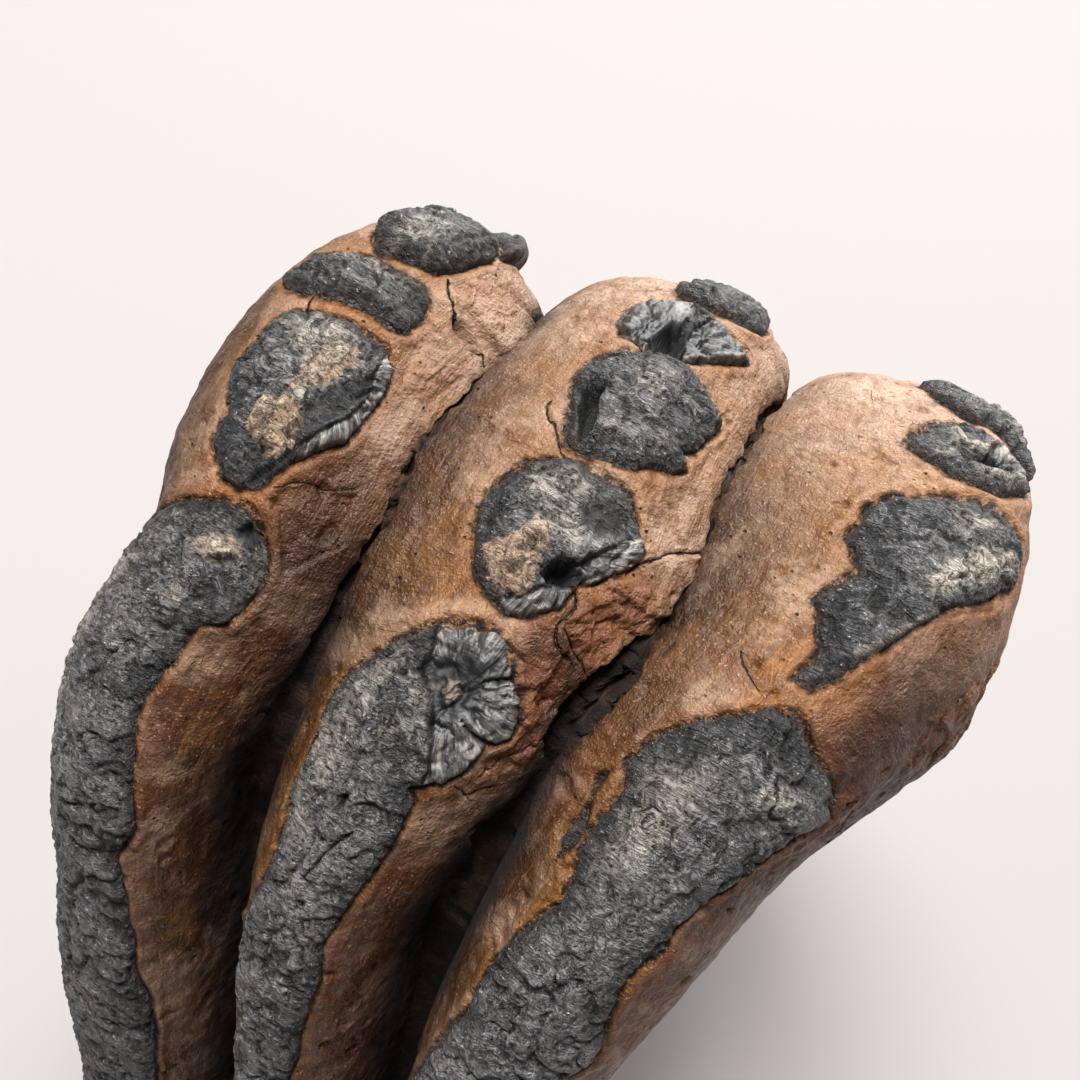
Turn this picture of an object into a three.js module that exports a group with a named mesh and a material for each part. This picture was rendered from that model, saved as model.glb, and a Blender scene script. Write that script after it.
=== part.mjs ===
// Fossil mammoth molar fragment: three tooth plates grown together side by side, in millimetres, +Z up.
// Each plate is a standing slab that ends at the top in a row of rounded finger tips, and its foremost
// finger runs down the front as a long ridge. Deep clefts part the plates at the front and shrink to
// cracks over the top. The plates are cut off flat below, and the fragment stands on that cut.
// The origin is on the flat underside, under the middle plate; X runs across the plates, front is -Y.
import * as THREE from 'three';
import { mergeVertices } from 'three/addons/utils/BufferGeometryUtils.js';

// Side outline of a plate (y, z), from the front foot over the crown to the back foot.
const OUTLINE = [
  [-27, 0], [-26, 15], [-24, 30], [-21.5, 42], [-18, 52], [-12.5, 59], [-5, 63], [4, 64.5],
  [12, 64], [19, 60.5], [23.5, 52], [25.2, 40], [26.3, 25], [26.8, 10], [26.8, 0],
];
const PLATES = 3;
const CORE_Z = 38; // surface depth is measured towards the middle of the plate at this height
const FACE_CENTRE = [0, 30]; // (y, z) of the middle of an outer face

// Every [s, value] pair below is at s mm along the outline, counted from the front foot.
// Line of each plate's crest, as x.
const CREST_X = [
  [[0, -5], [15, -5.6], [29, -7.3], [39, -9.2], [49, -11.8], [57, -13.3], [61, -13.5], [66, -12.4],
    [73, -12.6], [79, -13.8], [84.5, -12.9], [90, -11.2], [100, -11.5], [115, -9.5], [135, -7.3], [165, -5]],
  [[0, 3.2], [15, 2.9], [29, 1.9], [40, 0.5], [48, -0.8], [54, -1.4], [60, -1.8], [63, -1.2], [66, 0], [81, 0],
    [87, -0.4], [92, 0], [105, 0.3], [120, 1.2], [140, 2.4], [165, 3.2]],
  [[0, 11.4], [15, 11.2], [30, 10.2], [42, 9.3], [52, 9.1], [57, 9.3], [62, 10.5], [65, 11.3], [68, 11.9],
    [71, 12.4], [75, 13.4], [80, 14.2], [88, 14.3], [93, 13.6], [105, 12.8], [120, 11.8], [165, 11.4]],
];
// Lines where the plates end, as x: outer face of the first, two clefts, outer face of the last.
const EDGE_X = [
  [[0, -11.2], [20, -12.3], [30, -13.7], [40, -15.1], [50, -16.4], [58, -17.2], [62, -17.2], [66, -16.9],
    [70, -18.2], [76, -19.1], [82, -18.9], [88, -17], [95, -15.8], [110, -15.5], [130, -13], [165, -11.2]],
  [[0, -0.9], [20, -2.2], [30, -3.3], [38, -4.6], [46, -6], [54, -6.9], [60, -6.9], [66, -7], [72, -7.4],
    [78, -7.9], [83, -7.4], [88, -7.6], [95, -8], [105, -7.4], [130, -3.2], [165, -0.9]],
  [[0, 7.3], [20, 6.8], [30, 6.1], [40, 5], [48, 4.2], [55, 4.1], [61, 4.3], [66, 4.6], [69, 4.9], [72, 5.4],
    [75, 5.8], [79, 5.4], [82, 5], [88, 4.7], [95, 5], [110, 5.7], [130, 6.4], [165, 7.3]],
  [[0, 16], [20, 15.8], [30, 15], [40, 14.3], [48, 14.3], [56, 14.9], [61, 15.2], [65, 15.6], [69, 16.6],
    [75, 18.6], [80, 20], [86, 19.8], [92, 18.6], [100, 18.2], [115, 17.8], [135, 17], [165, 16]],
];
// How far below the crest the surface lies at each of those four lines.
const EDGE_DEPTH = [
  [[0, 6], [165, 6]],
  [[0, 7], [20, 8], [50, 8], [56, 7], [62, 5.2], [68, 3.8], [75, 3.2], [81, 3.3], [86, 4.6], [91, 6],
    [97, 7.2], [105, 7.5], [120, 6], [165, 6]],
  [[0, 7], [20, 8], [50, 8], [56, 7.4], [62, 6], [68, 4], [75, 3.2], [82, 3.2], [90, 3.8], [100, 4.6],
    [110, 5], [120, 6], [165, 6]],
  [[0, 6], [50, 7], [100, 7], [165, 6]],
];
// How far each crest stands above (+) or below (-) the outline.
const CREST_LIFT = [
  [[0, 0], [60, 0], [72, 0], [80, -0.1], [84, -0.1], [87, -0.3], [90, -1.5], [95, -4.8], [101, -7], [130, -3],
    [165, 0]],
  [[0, 0], [60, 0.2], [76, 0.3], [85, 0.3], [92, 0.5], [100, 0.4], [130, 0], [165, 0]],
  [[0, 0], [50, 0.3], [65, 0.8], [75, 1.6], [85, 1.9], [92, 1.9], [100, 1.5], [130, 0.5], [165, 0]],
];
const CLEFT_HALF_WIDTH = [[0, 0.5], [50, 0.9], [60, 0.6], [66, 0.15], [100, 0.15], [120, 0.4], [165, 0.5]];
// Above 1 flattens the top of a plate and steepens its flanks.
const SHOULDER_POWER = [[0, 1.15], [78, 1.15], [82, 1.2], [92, 1.7], [100, 1.7], [165, 1.7]];
// Share of each inner flank that levels out towards the cleft instead of dropping into it.
const VALLEY = [[0, 0], [60, 0], [70, 0.3], [90, 0.3], [105, 0], [165, 0]];

// Enamel tips standing out of the crown: [plate, x, s, half width, half length].
const TIPS = [
  [0, -13.4, 74, 3.3, 5], [0, -14.2, 80.6, 3.3, 2], [0, -13.1, 85.9, 2.8, 3.3], [0, -10, 91.6, 1.9, 2.3],
  [1, -0.3, 74.3, 3.7, 4.1], [1, -0.1, 82.3, 3.6, 3.8], [1, -0.8, 88.3, 3.3, 2.9], [1, -0.1, 94, 2.6, 2.8],
  [2, 14, 80.8, 3.9, 6.3], [2, 13.9, 88.6, 3.2, 2.6], [2, 13.8, 93.6, 3.4, 2.8],
];
const TIP_HEIGHT = 1.3;
const CEMENT_DROP = 0.8; // cement between the tips lies this far below the plate's crest line
// The foremost and rearmost fingers of each plate are ridges: s where they end and start, half width.
const RIDGES = [
  { frontEnd: 67.7, rearStart: 95, halfWidth: 3.7 },
  { frontEnd: 68.7, rearStart: 97, halfWidth: 3.4 },
  { frontEnd: 71.5, rearStart: 98, halfWidth: 3.9 },
];
const RIDGE_HEIGHT = 0.8;

// Grid: stretches of the outline as [segments, end s], the flat foot, the plates and the outer faces.
const STRETCHES = [[18, 50], [44, 95], [20, Infinity]];
const FOOT_SEGMENTS = 6;
const PLATE_SEGMENTS = 11;
const FACE_SEGMENTS = 5;

// Outer faces: nearly flat, with a slight bulge and upright flutes between the fused fingers.
const FACE_BULGE = 1.3;
const FLUTE_DEPTH = 0.8;
const FLUTE_PITCH = 9.4;
const FLUTE_Y = 8.6; // y of one flute's bottom
const FLUTE_FADE_Z = [6, 34]; // heights between which the flutes appear

const { smoothstep, lerp } = THREE.MathUtils;

// A smooth function of s through [s, value] pairs.
function alongOutline(pairs) {
  const interpolant = new THREE.CubicInterpolant(pairs.map((p) => p[0]), pairs.map((p) => p[1]), 1, [0]);
  return (s) => interpolant.evaluate(s)[0];
}

const outline = new THREE.SplineCurve(OUTLINE.map(([y, z]) => new THREE.Vector2(y, z)));
const outlineLength = outline.getLength();
const crestX = CREST_X.map(alongOutline);
const edgeX = EDGE_X.map(alongOutline);
const edgeDepth = EDGE_DEPTH.map(alongOutline);
const crestLift = CREST_LIFT.map(alongOutline);
const cleftHalfWidth = alongOutline(CLEFT_HALF_WIDTH);
const shoulderPower = alongOutline(SHOULDER_POWER);
const valley = alongOutline(VALLEY);

// Height of the enamel tips and ridges over the cement, at chart position (x, s).
function enamelRelief(plate, x, s) {
  const { frontEnd, rearStart, halfWidth: ridgeHalf } = RIDGES[plate];
  const pastEnd = Math.max(0, Math.min(s - frontEnd, rearStart - s) + ridgeHalf) / ridgeHalf;
  const fromRidge = ((x - crestX[plate](s)) / ridgeHalf) ** 2 + pastEnd ** 2;
  let height = RIDGE_HEIGHT * (1 - fromRidge ** 2);
  for (const [tipPlate, tipX, tipS, halfWidth, halfLength] of TIPS) {
    if (tipPlate !== plate) continue;
    const fromTip = ((x - tipX) / halfWidth) ** 2 + ((s - tipS) / halfLength) ** 2;
    height = Math.max(height, TIP_HEIGHT * (1 - fromTip ** 2));
  }
  return Math.max(0, height);
}

// Point of a plate: angle is -90 degrees at its left edge line, 0 at the crest, 90 at its right edge line.
function platePoint(plate, angle, s) {
  const side = angle < 0 ? plate : plate + 1;
  const inner = side > 0 && side < PLATES;
  const wall = edgeX[side](s) + (inner ? cleftHalfWidth(s) * (angle < 0 ? 1 : -1) : 0);
  const x = lerp(crestX[plate](s), wall, Math.abs(Math.sin(angle)));
  const cos = Math.cos(angle);
  const rise = (crestLift[plate](s) + enamelRelief(plate, x, s) - CEMENT_DROP) * cos;
  const level = inner ? valley(s) : 0;
  const drop = lerp((1 - cos) ** shoulderPower(s), Math.sin((Math.sin(angle) * Math.PI) / 2) ** 2, level);
  const depth = edgeDepth[side](s) * drop - rise;
  const rim = outline.getPointAt(s / outlineLength);
  const inward = new THREE.Vector2(-rim.x, Math.min(rim.y, CORE_Z) - rim.y).normalize();
  return new THREE.Vector3(x, rim.x + inward.x * depth, rim.y + inward.y * depth);
}

// Values of s at the grid's stations, from the front foot to the back foot.
function stations() {
  const list = [0];
  for (const [segments, end] of STRETCHES) {
    const start = list[list.length - 1];
    const stop = Math.min(end, outlineLength);
    for (let i = 1; i <= segments; i++) list.push(lerp(start, stop, i / segments));
  }
  return list;
}

// One closed ring of points per line across the plates: over the crown, then back under the flat foot.
function ringOfPoints(plate, angle, sList) {
  const ring = sList.map((s) => platePoint(plate, angle, s));
  const back = ring[ring.length - 1];
  const front = ring[0];
  for (let i = 1; i < FOOT_SEGMENTS; i++) ring.push(back.clone().lerp(front, i / FOOT_SEGMENTS));
  return ring;
}

// x of each outer face's mean plane at (y, z).
const leftPlane = (y, z) => -10.5 - 0.105 * z;
const rightPlane = (y) => 16.1 + 0.085 * y;

// How far the face stands out of its mean plane, away from its rim.
function faceRelief(y, z) {
  const flute = 0.5 + 0.5 * Math.cos((2 * Math.PI * (y - FLUTE_Y)) / FLUTE_PITCH);
  return FACE_BULGE - FLUTE_DEPTH * flute * smoothstep(z, ...FLUTE_FADE_Z);
}

// Ring of an outer face: share 1 is the plate's edge ring, share 0 the middle of the face.
function faceRing(edgeRing, share, plane, outward) {
  return edgeRing.map((p) => {
    const y = lerp(FACE_CENTRE[0], p.y, share);
    const z = lerp(FACE_CENTRE[1], p.z, share);
    const rimOffset = (p.x - plane(p.y, p.z)) * share ** 3;
    const x = plane(y, z) + rimOffset + outward * faceRelief(y, z) * (1 - share ** 3);
    return new THREE.Vector3(x, y, z);
  });
}

function molarRings() {
  const sList = stations();
  const rings = [];
  for (let plate = 0; plate < PLATES; plate++) {
    for (let i = 0; i <= PLATE_SEGMENTS; i++) {
      rings.push(ringOfPoints(plate, (i / PLATE_SEGMENTS - 0.5) * Math.PI, sList));
    }
  }
  const first = rings[0];
  const last = rings[rings.length - 1];
  for (let i = FACE_SEGMENTS - 1; i >= 0; i--) {
    rings.unshift(faceRing(first, i / FACE_SEGMENTS, leftPlane, -1));
    rings.push(faceRing(last, i / FACE_SEGMENTS, rightPlane, 1));
  }
  return rings;
}

// A sphere whose meridians become the rings' stations and whose two poles become the outer faces' middles.
function molarGeometry() {
  const rings = molarRings();
  const around = rings[0].length;
  const geometry = new THREE.SphereGeometry(1, around, rings.length - 1);
  const position = geometry.getAttribute('position');
  for (let i = 0; i < position.count; i++) {
    const p = rings[Math.floor(i / (around + 1))][(i % (around + 1)) % around];
    position.setXYZ(i, p.x, p.y, p.z);
  }
  geometry.deleteAttribute('normal');
  geometry.deleteAttribute('uv');
  const merged = mergeVertices(geometry, 1e-4);
  merged.computeVertexNormals();
  return merged;
}

const fossil = new THREE.MeshStandardMaterial({ color: 0x8f6647, roughness: 0.6, metalness: 0 });
const molar = new THREE.Mesh(molarGeometry(), fossil);
molar.name = 'molar';

const object = new THREE.Group();
object.add(molar);

export default object;
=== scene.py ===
"""Fossil mammoth molar: three tooth plates grown together, brown crown cement round grey-black enamel.

Lengths in the tables and functions are millimetres; they become metres when a mesh is made. A place on a
plate is given by its turn, the angle round the plate's crest in degrees (-90 is its left edge line, 0 the
crest, 90 its right edge line), and by s, the distance along the side outline from the front foot over the
crown.
"""
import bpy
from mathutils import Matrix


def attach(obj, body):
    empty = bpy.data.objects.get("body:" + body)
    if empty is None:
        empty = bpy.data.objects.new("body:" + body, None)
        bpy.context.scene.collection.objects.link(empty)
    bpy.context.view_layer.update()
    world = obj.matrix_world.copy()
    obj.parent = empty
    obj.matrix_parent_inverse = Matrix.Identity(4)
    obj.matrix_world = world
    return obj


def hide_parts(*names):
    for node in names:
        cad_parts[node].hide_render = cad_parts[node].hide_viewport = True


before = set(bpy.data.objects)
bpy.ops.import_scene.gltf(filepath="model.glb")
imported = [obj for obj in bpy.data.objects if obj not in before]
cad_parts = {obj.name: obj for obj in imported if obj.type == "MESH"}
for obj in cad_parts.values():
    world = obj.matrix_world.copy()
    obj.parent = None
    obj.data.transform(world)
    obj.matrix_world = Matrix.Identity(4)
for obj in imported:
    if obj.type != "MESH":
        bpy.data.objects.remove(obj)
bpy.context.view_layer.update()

from types import SimpleNamespace

import bpy
import numpy as np
from mathutils import Matrix

MM = 0.001

# ---------------------------------------------------------------------------------------------------------
# Camera. It is held close, 5 cm above the crown and a little in front of the tooth, and looks down at about
# 56 degrees. The focal length is 1.39 times the picture's width: a 50 mm lens before a frame 36 mm wide.
# ---------------------------------------------------------------------------------------------------------
CAMERA_PLACE = (7.01, -36.86, 117.02)
CAMERA_RIGHT = (0.85401, 0.48345, 0.19220)
CAMERA_UP = (-0.50669, 0.68907, 0.51811)
CAMERA_BACK = (0.11804, -0.53986, 0.83344)
FOCAL_LENGTH = 50
FRAME_WIDTH = 36
NEAREST = 5  # nothing closer than this is drawn

camera_data = bpy.data.cameras.new("camera")
camera_data.lens = FOCAL_LENGTH
camera_data.sensor_width = FRAME_WIDTH
camera_data.clip_start = NEAREST * MM
camera = bpy.data.objects.new("camera", camera_data)
turned = Matrix((CAMERA_RIGHT, CAMERA_UP, CAMERA_BACK)).transposed().to_4x4()
camera.matrix_world = Matrix.Translation([c * MM for c in CAMERA_PLACE]) @ turned
bpy.context.scene.collection.objects.link(camera)
bpy.context.scene.camera = camera

# ---------------------------------------------------------------------------------------------------------
# Cement body. Crown cement grew over the three plates and between them, and joins them into one block. Clefts
# part the plates: wide and steep in front, a thin crack over the crown. The fossil cement is brown, fibrous
# along the plates, hard and a little shiny where it was handled.
# ---------------------------------------------------------------------------------------------------------
# Side outline of a plate (y, z), from the front foot over the crown to the back foot.
SIDE_OUTLINE = [
    (-27, 0), (-26, 15), (-24, 30), (-21.5, 42), (-18, 52), (-12.5, 59), (-5, 63), (4, 64.5),
    (12, 64), (19, 60.5), (23.5, 52), (25.2, 40), (26.3, 25), (26.8, 10), (26.8, 0),
]
CORE_Z = 38  # depth is measured towards the middle of the plate at this height
FACE_CENTRE = (0, 30)  # (y, z) of the middle of an outer face
PLATES = 3

# Every (s, value) pair below is at s along the side outline. Line of each plate's crest, as x.
CREST_X = [
    [(0, -5), (15, -5.6), (29, -7.3), (39, -9.2), (49, -11.8), (57, -13.3), (61, -13.5), (66, -12.4),
     (73, -12.6), (79, -13.8), (84.5, -12.9), (90, -11.2), (100, -11.5), (115, -9.5), (135, -7.3), (165, -5)],
    [(0, 3.2), (15, 2.9), (29, 1.9), (40, 0.5), (48, -0.8), (54, -1.4), (60, -1.8), (63, -1.2), (66, 0),
     (81, 0), (87, -0.4), (92, 0), (105, 0.3), (120, 1.2), (140, 2.4), (165, 3.2)],
    [(0, 11.4), (15, 11.2), (30, 10.2), (42, 9.3), (52, 9.1), (57, 9.3), (62, 10.5), (65, 11.3), (68, 11.9),
     (71, 12.4), (75, 13.4), (80, 14.2), (88, 14.3), (93, 13.6), (105, 12.8), (120, 11.8), (165, 11.4)],
]
# Lines where the plates end, as x: outer face of the first, two clefts, outer face of the last.
EDGE_X = [
    [(0, -11.2), (20, -12.3), (30, -13.7), (40, -15.1), (50, -16.4), (58, -17.2), (62, -17.2), (66, -16.9),
     (70, -18.2), (76, -19.1), (82, -18.9), (88, -17), (95, -15.8), (110, -15.5), (130, -13), (165, -11.2)],
    [(0, -0.9), (20, -2.2), (30, -3.3), (38, -4.6), (46, -6), (54, -6.9), (60, -6.9), (66, -7), (72, -7.4),
     (78, -7.9), (83, -7.4), (88, -7.6), (95, -8), (105, -7.4), (130, -3.2), (165, -0.9)],
    [(0, 7.3), (20, 6.8), (30, 6.1), (40, 5), (48, 4.2), (55, 4.1), (61, 4.3), (66, 4.6), (69, 4.9),
     (72, 5.4), (75, 5.8), (79, 5.4), (82, 5), (88, 4.7), (95, 5), (110, 5.7), (130, 6.4), (165, 7.3)],
    [(0, 16), (20, 15.8), (30, 15), (40, 14.3), (48, 14.3), (56, 14.9), (61, 15.2), (65, 15.6),
     (69, 16.6), (75, 18.6), (80, 20), (86, 19.8), (92, 18.6), (100, 18.2), (115, 17.8), (135, 17),
     (165, 16)],
]
# How far below the crest the surface lies at each of those four lines.
EDGE_DEPTH = [
    [(0, 6), (165, 6)],
    [(0, 7), (20, 8), (50, 8), (56, 7), (62, 5.2), (68, 3.8), (75, 3.2), (81, 3.3), (86, 4.6), (91, 6),
     (97, 7.2), (105, 7.5), (120, 6), (165, 6)],
    [(0, 7), (20, 8), (50, 8), (56, 7.4), (62, 6), (68, 4), (75, 3.2), (82, 3.2), (90, 3.8), (100, 4.6),
     (110, 5), (120, 6), (165, 6)],
    [(0, 6), (50, 7), (100, 7), (165, 6)],
]
# How far each crest stands above (+) or below (-) the outline.
CREST_LIFT = [
    [(0, 0), (60, 0), (72, 0), (80, -0.1), (84, -0.1), (87, -0.3), (90, -1.5), (95, -4.8), (101, -7),
     (130, -3), (165, 0)],
    [(0, 0), (60, 0.2), (76, 0.3), (85, 0.3), (92, 0.5), (100, 0.4), (130, 0), (165, 0)],
    [(0, 0), (50, 0.3), (65, 0.8), (75, 1.6), (85, 1.9), (92, 1.9), (100, 1.5), (130, 0.5), (165, 0)],
]
# Share of each inner flank that levels out towards the cleft instead of dropping into it.
VALLEY = [(0, 0), (60, 0), (70, 0.3), (90, 0.3), (105, 0), (165, 0)]
CLEFT_HALF_WIDTH = [(0, 0.5), (50, 0.9), (60, 0.6), (66, 0.15), (100, 0.15), (120, 0.4), (165, 0.5)]
# Power of the fall from crest to edge. The greater it is, the flatter the top and the steeper the flanks.
SHOULDER_POWER = [(0, 1.15), (78, 1.15), (82, 1.2), (92, 1.7), (100, 1.7), (165, 1.7)]
CEMENT_DROP = 0.8  # the cement lies this far below the plate's crest line
WANDER_FROM = (64, 70)  # the clefts begin to wander sideways between these values of s
CLEFT_DEPTH = 1.6  # of a cleft's floor below its two lips
CLEFT_FLOOR_TURN = 88.0  # the floor sinks along the plate's normal at this turn

# Outer faces: nearly flat, with a slight bulge and upright flutes between the fused fingers.
FACE_PLANES = [(-10.5, 0, -0.105), (16.1, 0.085, 0)]  # x of each face at the axis, and its slopes along y, z
FACE_BULGE = 1.3
FLUTE_DEPTH = 0.8
FLUTE_PITCH = 9.4
FLUTE_Y = 8.6
FLUTE_FADE_Z = (6, 34)

# Grid: samples between these values of s, then across the foot, each plate and each outer face.
S_STOPS = [(0, 46), (25, 100), (60, 205), (96, 70), (None, 0)]
FOOT_SAMPLES = 12
PLATE_SAMPLES = 62
FACE_SAMPLES = 13

DEGREE = np.pi / 180


def smooth_ramp(value, low, high):
    """0 below low, 1 above high, and 3t^2 - 2t^3 of the share t of the way between them."""
    t = np.clip((value - low) / (high - low), 0, 1)
    return t * t * (3 - 2 * t)


def bell(value, width):
    """1 where value is 0, falling to both sides as e^-(value / width)^2."""
    return np.exp(-(value / width)**2)


def both_ends(share, part):
    """Fades in over the first part of the way along a line, and out over its last part."""
    return smooth_ramp(share, 0, part) * smooth_ramp(1 - share, 0, part)


def through(points, samples=80):
    """Catmull-Rom curve through the points: each span is the cubic with half the neighbours' gap as
    tangent."""
    points = np.asarray(points, float)
    a, b, c, d = (np.vstack([points[:1], points, points[-1:]])[i:len(points) - 1 + i] for i in range(4))
    t = np.linspace(0, 1, samples, endpoint=False)[None, :, None]
    a, b, c, d = (k[:, None] for k in (a, b, c, d))
    spans = b + t * (c - a) / 2 + t**2 * (a - 2.5 * b + 2 * c - d / 2) + t**3 * (1.5 * (b - c) + (d - a) / 2)
    return np.vstack([spans.reshape(-1, 2), points[-1:]])


side_curve = through(SIDE_OUTLINE)
side_length = np.concatenate([[0], np.cumsum(np.hypot(*np.diff(side_curve, axis=0).T))])
S_END = side_length[-1]


def along(s, pairs):
    """Smooth curve through (s, value) pairs: cubic pieces whose slope at a pair is the mean of its two
    spans."""
    knots, values = np.asarray(pairs, float).T
    slopes = np.diff(values) / np.diff(knots)
    tangents = np.concatenate([slopes[:1], (slopes[:-1] + slopes[1:]) / 2, slopes[-1:]])
    i = np.clip(np.searchsorted(knots, s) - 1, 0, len(knots) - 2)
    span = knots[i + 1] - knots[i]
    t = (s - knots[i]) / span
    ends = (2 * t**3 - 3 * t**2 + 1) * values[i] + (3 * t**2 - 2 * t**3) * values[i + 1]
    return ends + (t**3 - 2 * t**2 + t) * span * tangents[i] + (t**3 - t**2) * span * tangents[i + 1]


def wander(s):
    """Sideways wander of a cleft in mm: three sines whose waves are 7.1, 2.7 and 1.1 mm long."""
    return 0.16 * np.sin(0.88 * s + 1) + 0.09 * np.sin(2.3 * s) + 0.06 * np.sin(5.7 * s + 2)


def half_width(plate, turn, s):
    """Distance in x from the crest line to the edge line on turn's side, less half the cleft, with its
    sign."""
    gap = along(s, CLEFT_HALF_WIDTH)
    left = along(s, EDGE_X[plate]) + (gap if plate > 0 else 0)
    right = along(s, EDGE_X[plate + 1]) - (gap if plate + 1 < PLATES else 0)
    return np.where(turn < 0, left, right) - along(s, CREST_X[plate])


def plate_surface(plate, turn, s):
    """Point of a plate's cement. x goes from the crest line to the edge line as the sine of turn. The point
    lies below the side outline by the edge depth times (1 - cos turn)^power, or over the valley's share of it
    times sin^2 of a quarter turn per sine, less the crest's lift times cos."""
    sine, cosine = np.sin(turn * DEGREE), np.cos(turn * DEGREE)
    x = along(s, CREST_X[plate]) + half_width(plate, turn, s) * np.abs(sine)
    edge_depth = np.where(turn < 0, along(s, EDGE_DEPTH[plate]), along(s, EDGE_DEPTH[plate + 1]))
    inner = np.where(turn < 0, plate > 0, plate + 1 < PLATES)
    x = x + inner * wander(s) * smooth_ramp(s, *WANDER_FROM) * np.abs(sine)**24
    level = along(s, VALLEY) * inner
    lift = along(s, CREST_LIFT[plate]) - CEMENT_DROP
    fall = np.clip(1 - cosine, 0, None)**along(s, SHOULDER_POWER)
    drop = (1 - level) * fall + level * np.sin(sine * np.pi / 2)**2
    depth = edge_depth * drop - lift * cosine
    y, z = (np.interp(s, side_length, side_curve[:, i]) for i in (0, 1))
    to_core_y, to_core_z = -y, np.minimum(z, CORE_Z) - z
    far = np.hypot(to_core_y, to_core_z)
    return np.stack([x, y + to_core_y / far * depth, z + to_core_z / far * depth], -1)


def cross_and_scale(across, lengthways):
    """Unit normals from the two directions of a surface."""
    normal = np.cross(across, lengthways)
    return normal / np.maximum(np.linalg.norm(normal, axis=-1, keepdims=True), 1e-9)


def plate_normal(plate, turn, s, step=0.4):
    """Outward normal of plate_surface, from the differences over a small step in turn and in s."""
    turn = np.clip(turn, -90 + step, 90 - step)
    across = plate_surface(plate, turn + step, s) - plate_surface(plate, turn - step, s)
    lengthways = plate_surface(plate, turn, s + step) - plate_surface(plate, turn, s - step)
    return cross_and_scale(across, lengthways)


def lattice(corner, seed):
    """A repeatable number from 0 to 1 for each whole-number corner: products of primes mixed by shifts."""
    mixed = corner[0] * 73856093 ^ corner[1] * 19349663 ^ corner[2] * 83492791 ^ seed * 2654435761
    mixed = ((mixed ^ (mixed >> 13)) * 1274126177) & 0xFFFFFFFF
    return ((mixed ^ (mixed >> 15)) & 0xFFFF) / 65535


def lumps(points, size, seed):
    """Value noise from -1 to 1: lattice numbers `size` apart, blended by 3t^2 - 2t^3 between the corners."""
    place = np.moveaxis(np.asarray(points) / size, -1, 0)
    base = np.floor(place).astype(np.int64)
    t = place - base
    t = t * t * (3 - 2 * t)
    total = 0
    for dx in (0, 1):
        for dy in (0, 1):
            for dz in (0, 1):
                share = 1
                for axis, d in enumerate((dx, dy, dz)):
                    share = share * (t[axis] if d else 1 - t[axis])
                total = total + share * lattice((base[0] + dx, base[1] + dy, base[2] + dz), seed)
    return 2 * total - 1


def rough(points, size, seed, octaves=3):
    """Sum of lumps, each octave half the size and half the height of the one before, from about -1 to 1."""
    return sum(lumps(points, size / 2**k, seed + k) / 2**k for k in range(octaves)) / (2 - 2.0**(1 - octaves))


def flakes(points, size, seed):
    """Facets from about -1 to 1: each point takes the nearest jittered lattice point's own level and tilt."""
    place = np.moveaxis(np.asarray(points) / size, -1, 0)
    base = np.floor(place).astype(np.int64)
    nearest = np.full(place.shape[1:], 9.0)
    height = np.zeros_like(nearest)
    for step in np.ndindex(3, 3, 3):
        corner = [base[i] + step[i] - 1 for i in range(3)]
        away = [place[i] - corner[i] - lattice(corner, seed + i) for i in range(3)]
        distance = np.sqrt(sum(a * a for a in away))
        tilt = sum(a * (2 * lattice(corner, seed + 5 + i) - 1) for i, a in enumerate(away))
        level = 2 * lattice(corner, seed + 9) - 1 + 1.6 * tilt
        closer = distance < nearest
        height = np.where(closer, level, height)
        nearest = np.where(closer, distance, nearest)
    return height


CHART_RADIUS = 6.8  # one radian of turn is taken as this many mm across a plate
CHART_STEP = 30  # from one plate's chart to the next one's, where all three lie side by side


def chart(turn, s):
    """Flat chart of a plate in mm: turn times the chart radius, and s."""
    return np.stack([turn * DEGREE * CHART_RADIUS, s + 0 * turn], -1)


def on_chart(places):
    """Chart points of one (turn, s) pair or of a list of them."""
    return chart(*np.asarray(places, float).T)


def side_by_side(plate, turn, s):
    """Points of the plates' charts laid side by side: the chart's x plus a step for each plate, s, and 0."""
    place = chart(turn, s)
    return np.stack([place[..., 0] + CHART_STEP * plate, place[..., 1], 0 * place[..., 0]], -1)


def inside_by(outline, turn, s):
    """Distance in mm from the outline's sides, measured on the chart, positive inside it. A point is inside
    if a line from it towards +s crosses an odd number of sides."""
    corners = on_chart(outline)
    point = chart(turn, s)
    nearest = np.full(point.shape[:-1], np.inf)
    inside = np.zeros(point.shape[:-1], bool)
    for a, b in zip(corners, np.roll(corners, -1, axis=0)):
        side, off = b - a, point - a
        share = np.clip(off @ side / (side @ side), 0, 1)
        nearest = np.minimum(nearest, np.hypot(*np.moveaxis(off - share[..., None] * side, -1, 0)))
        spans = (a[0] > point[..., 0]) != (b[0] > point[..., 0])
        cut = a[1] + off[..., 0] * side[1] / (side[0] if side[0] else 1e-9)
        inside ^= spans & (point[..., 1] < cut)
    return np.where(inside, nearest, -nearest)


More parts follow.
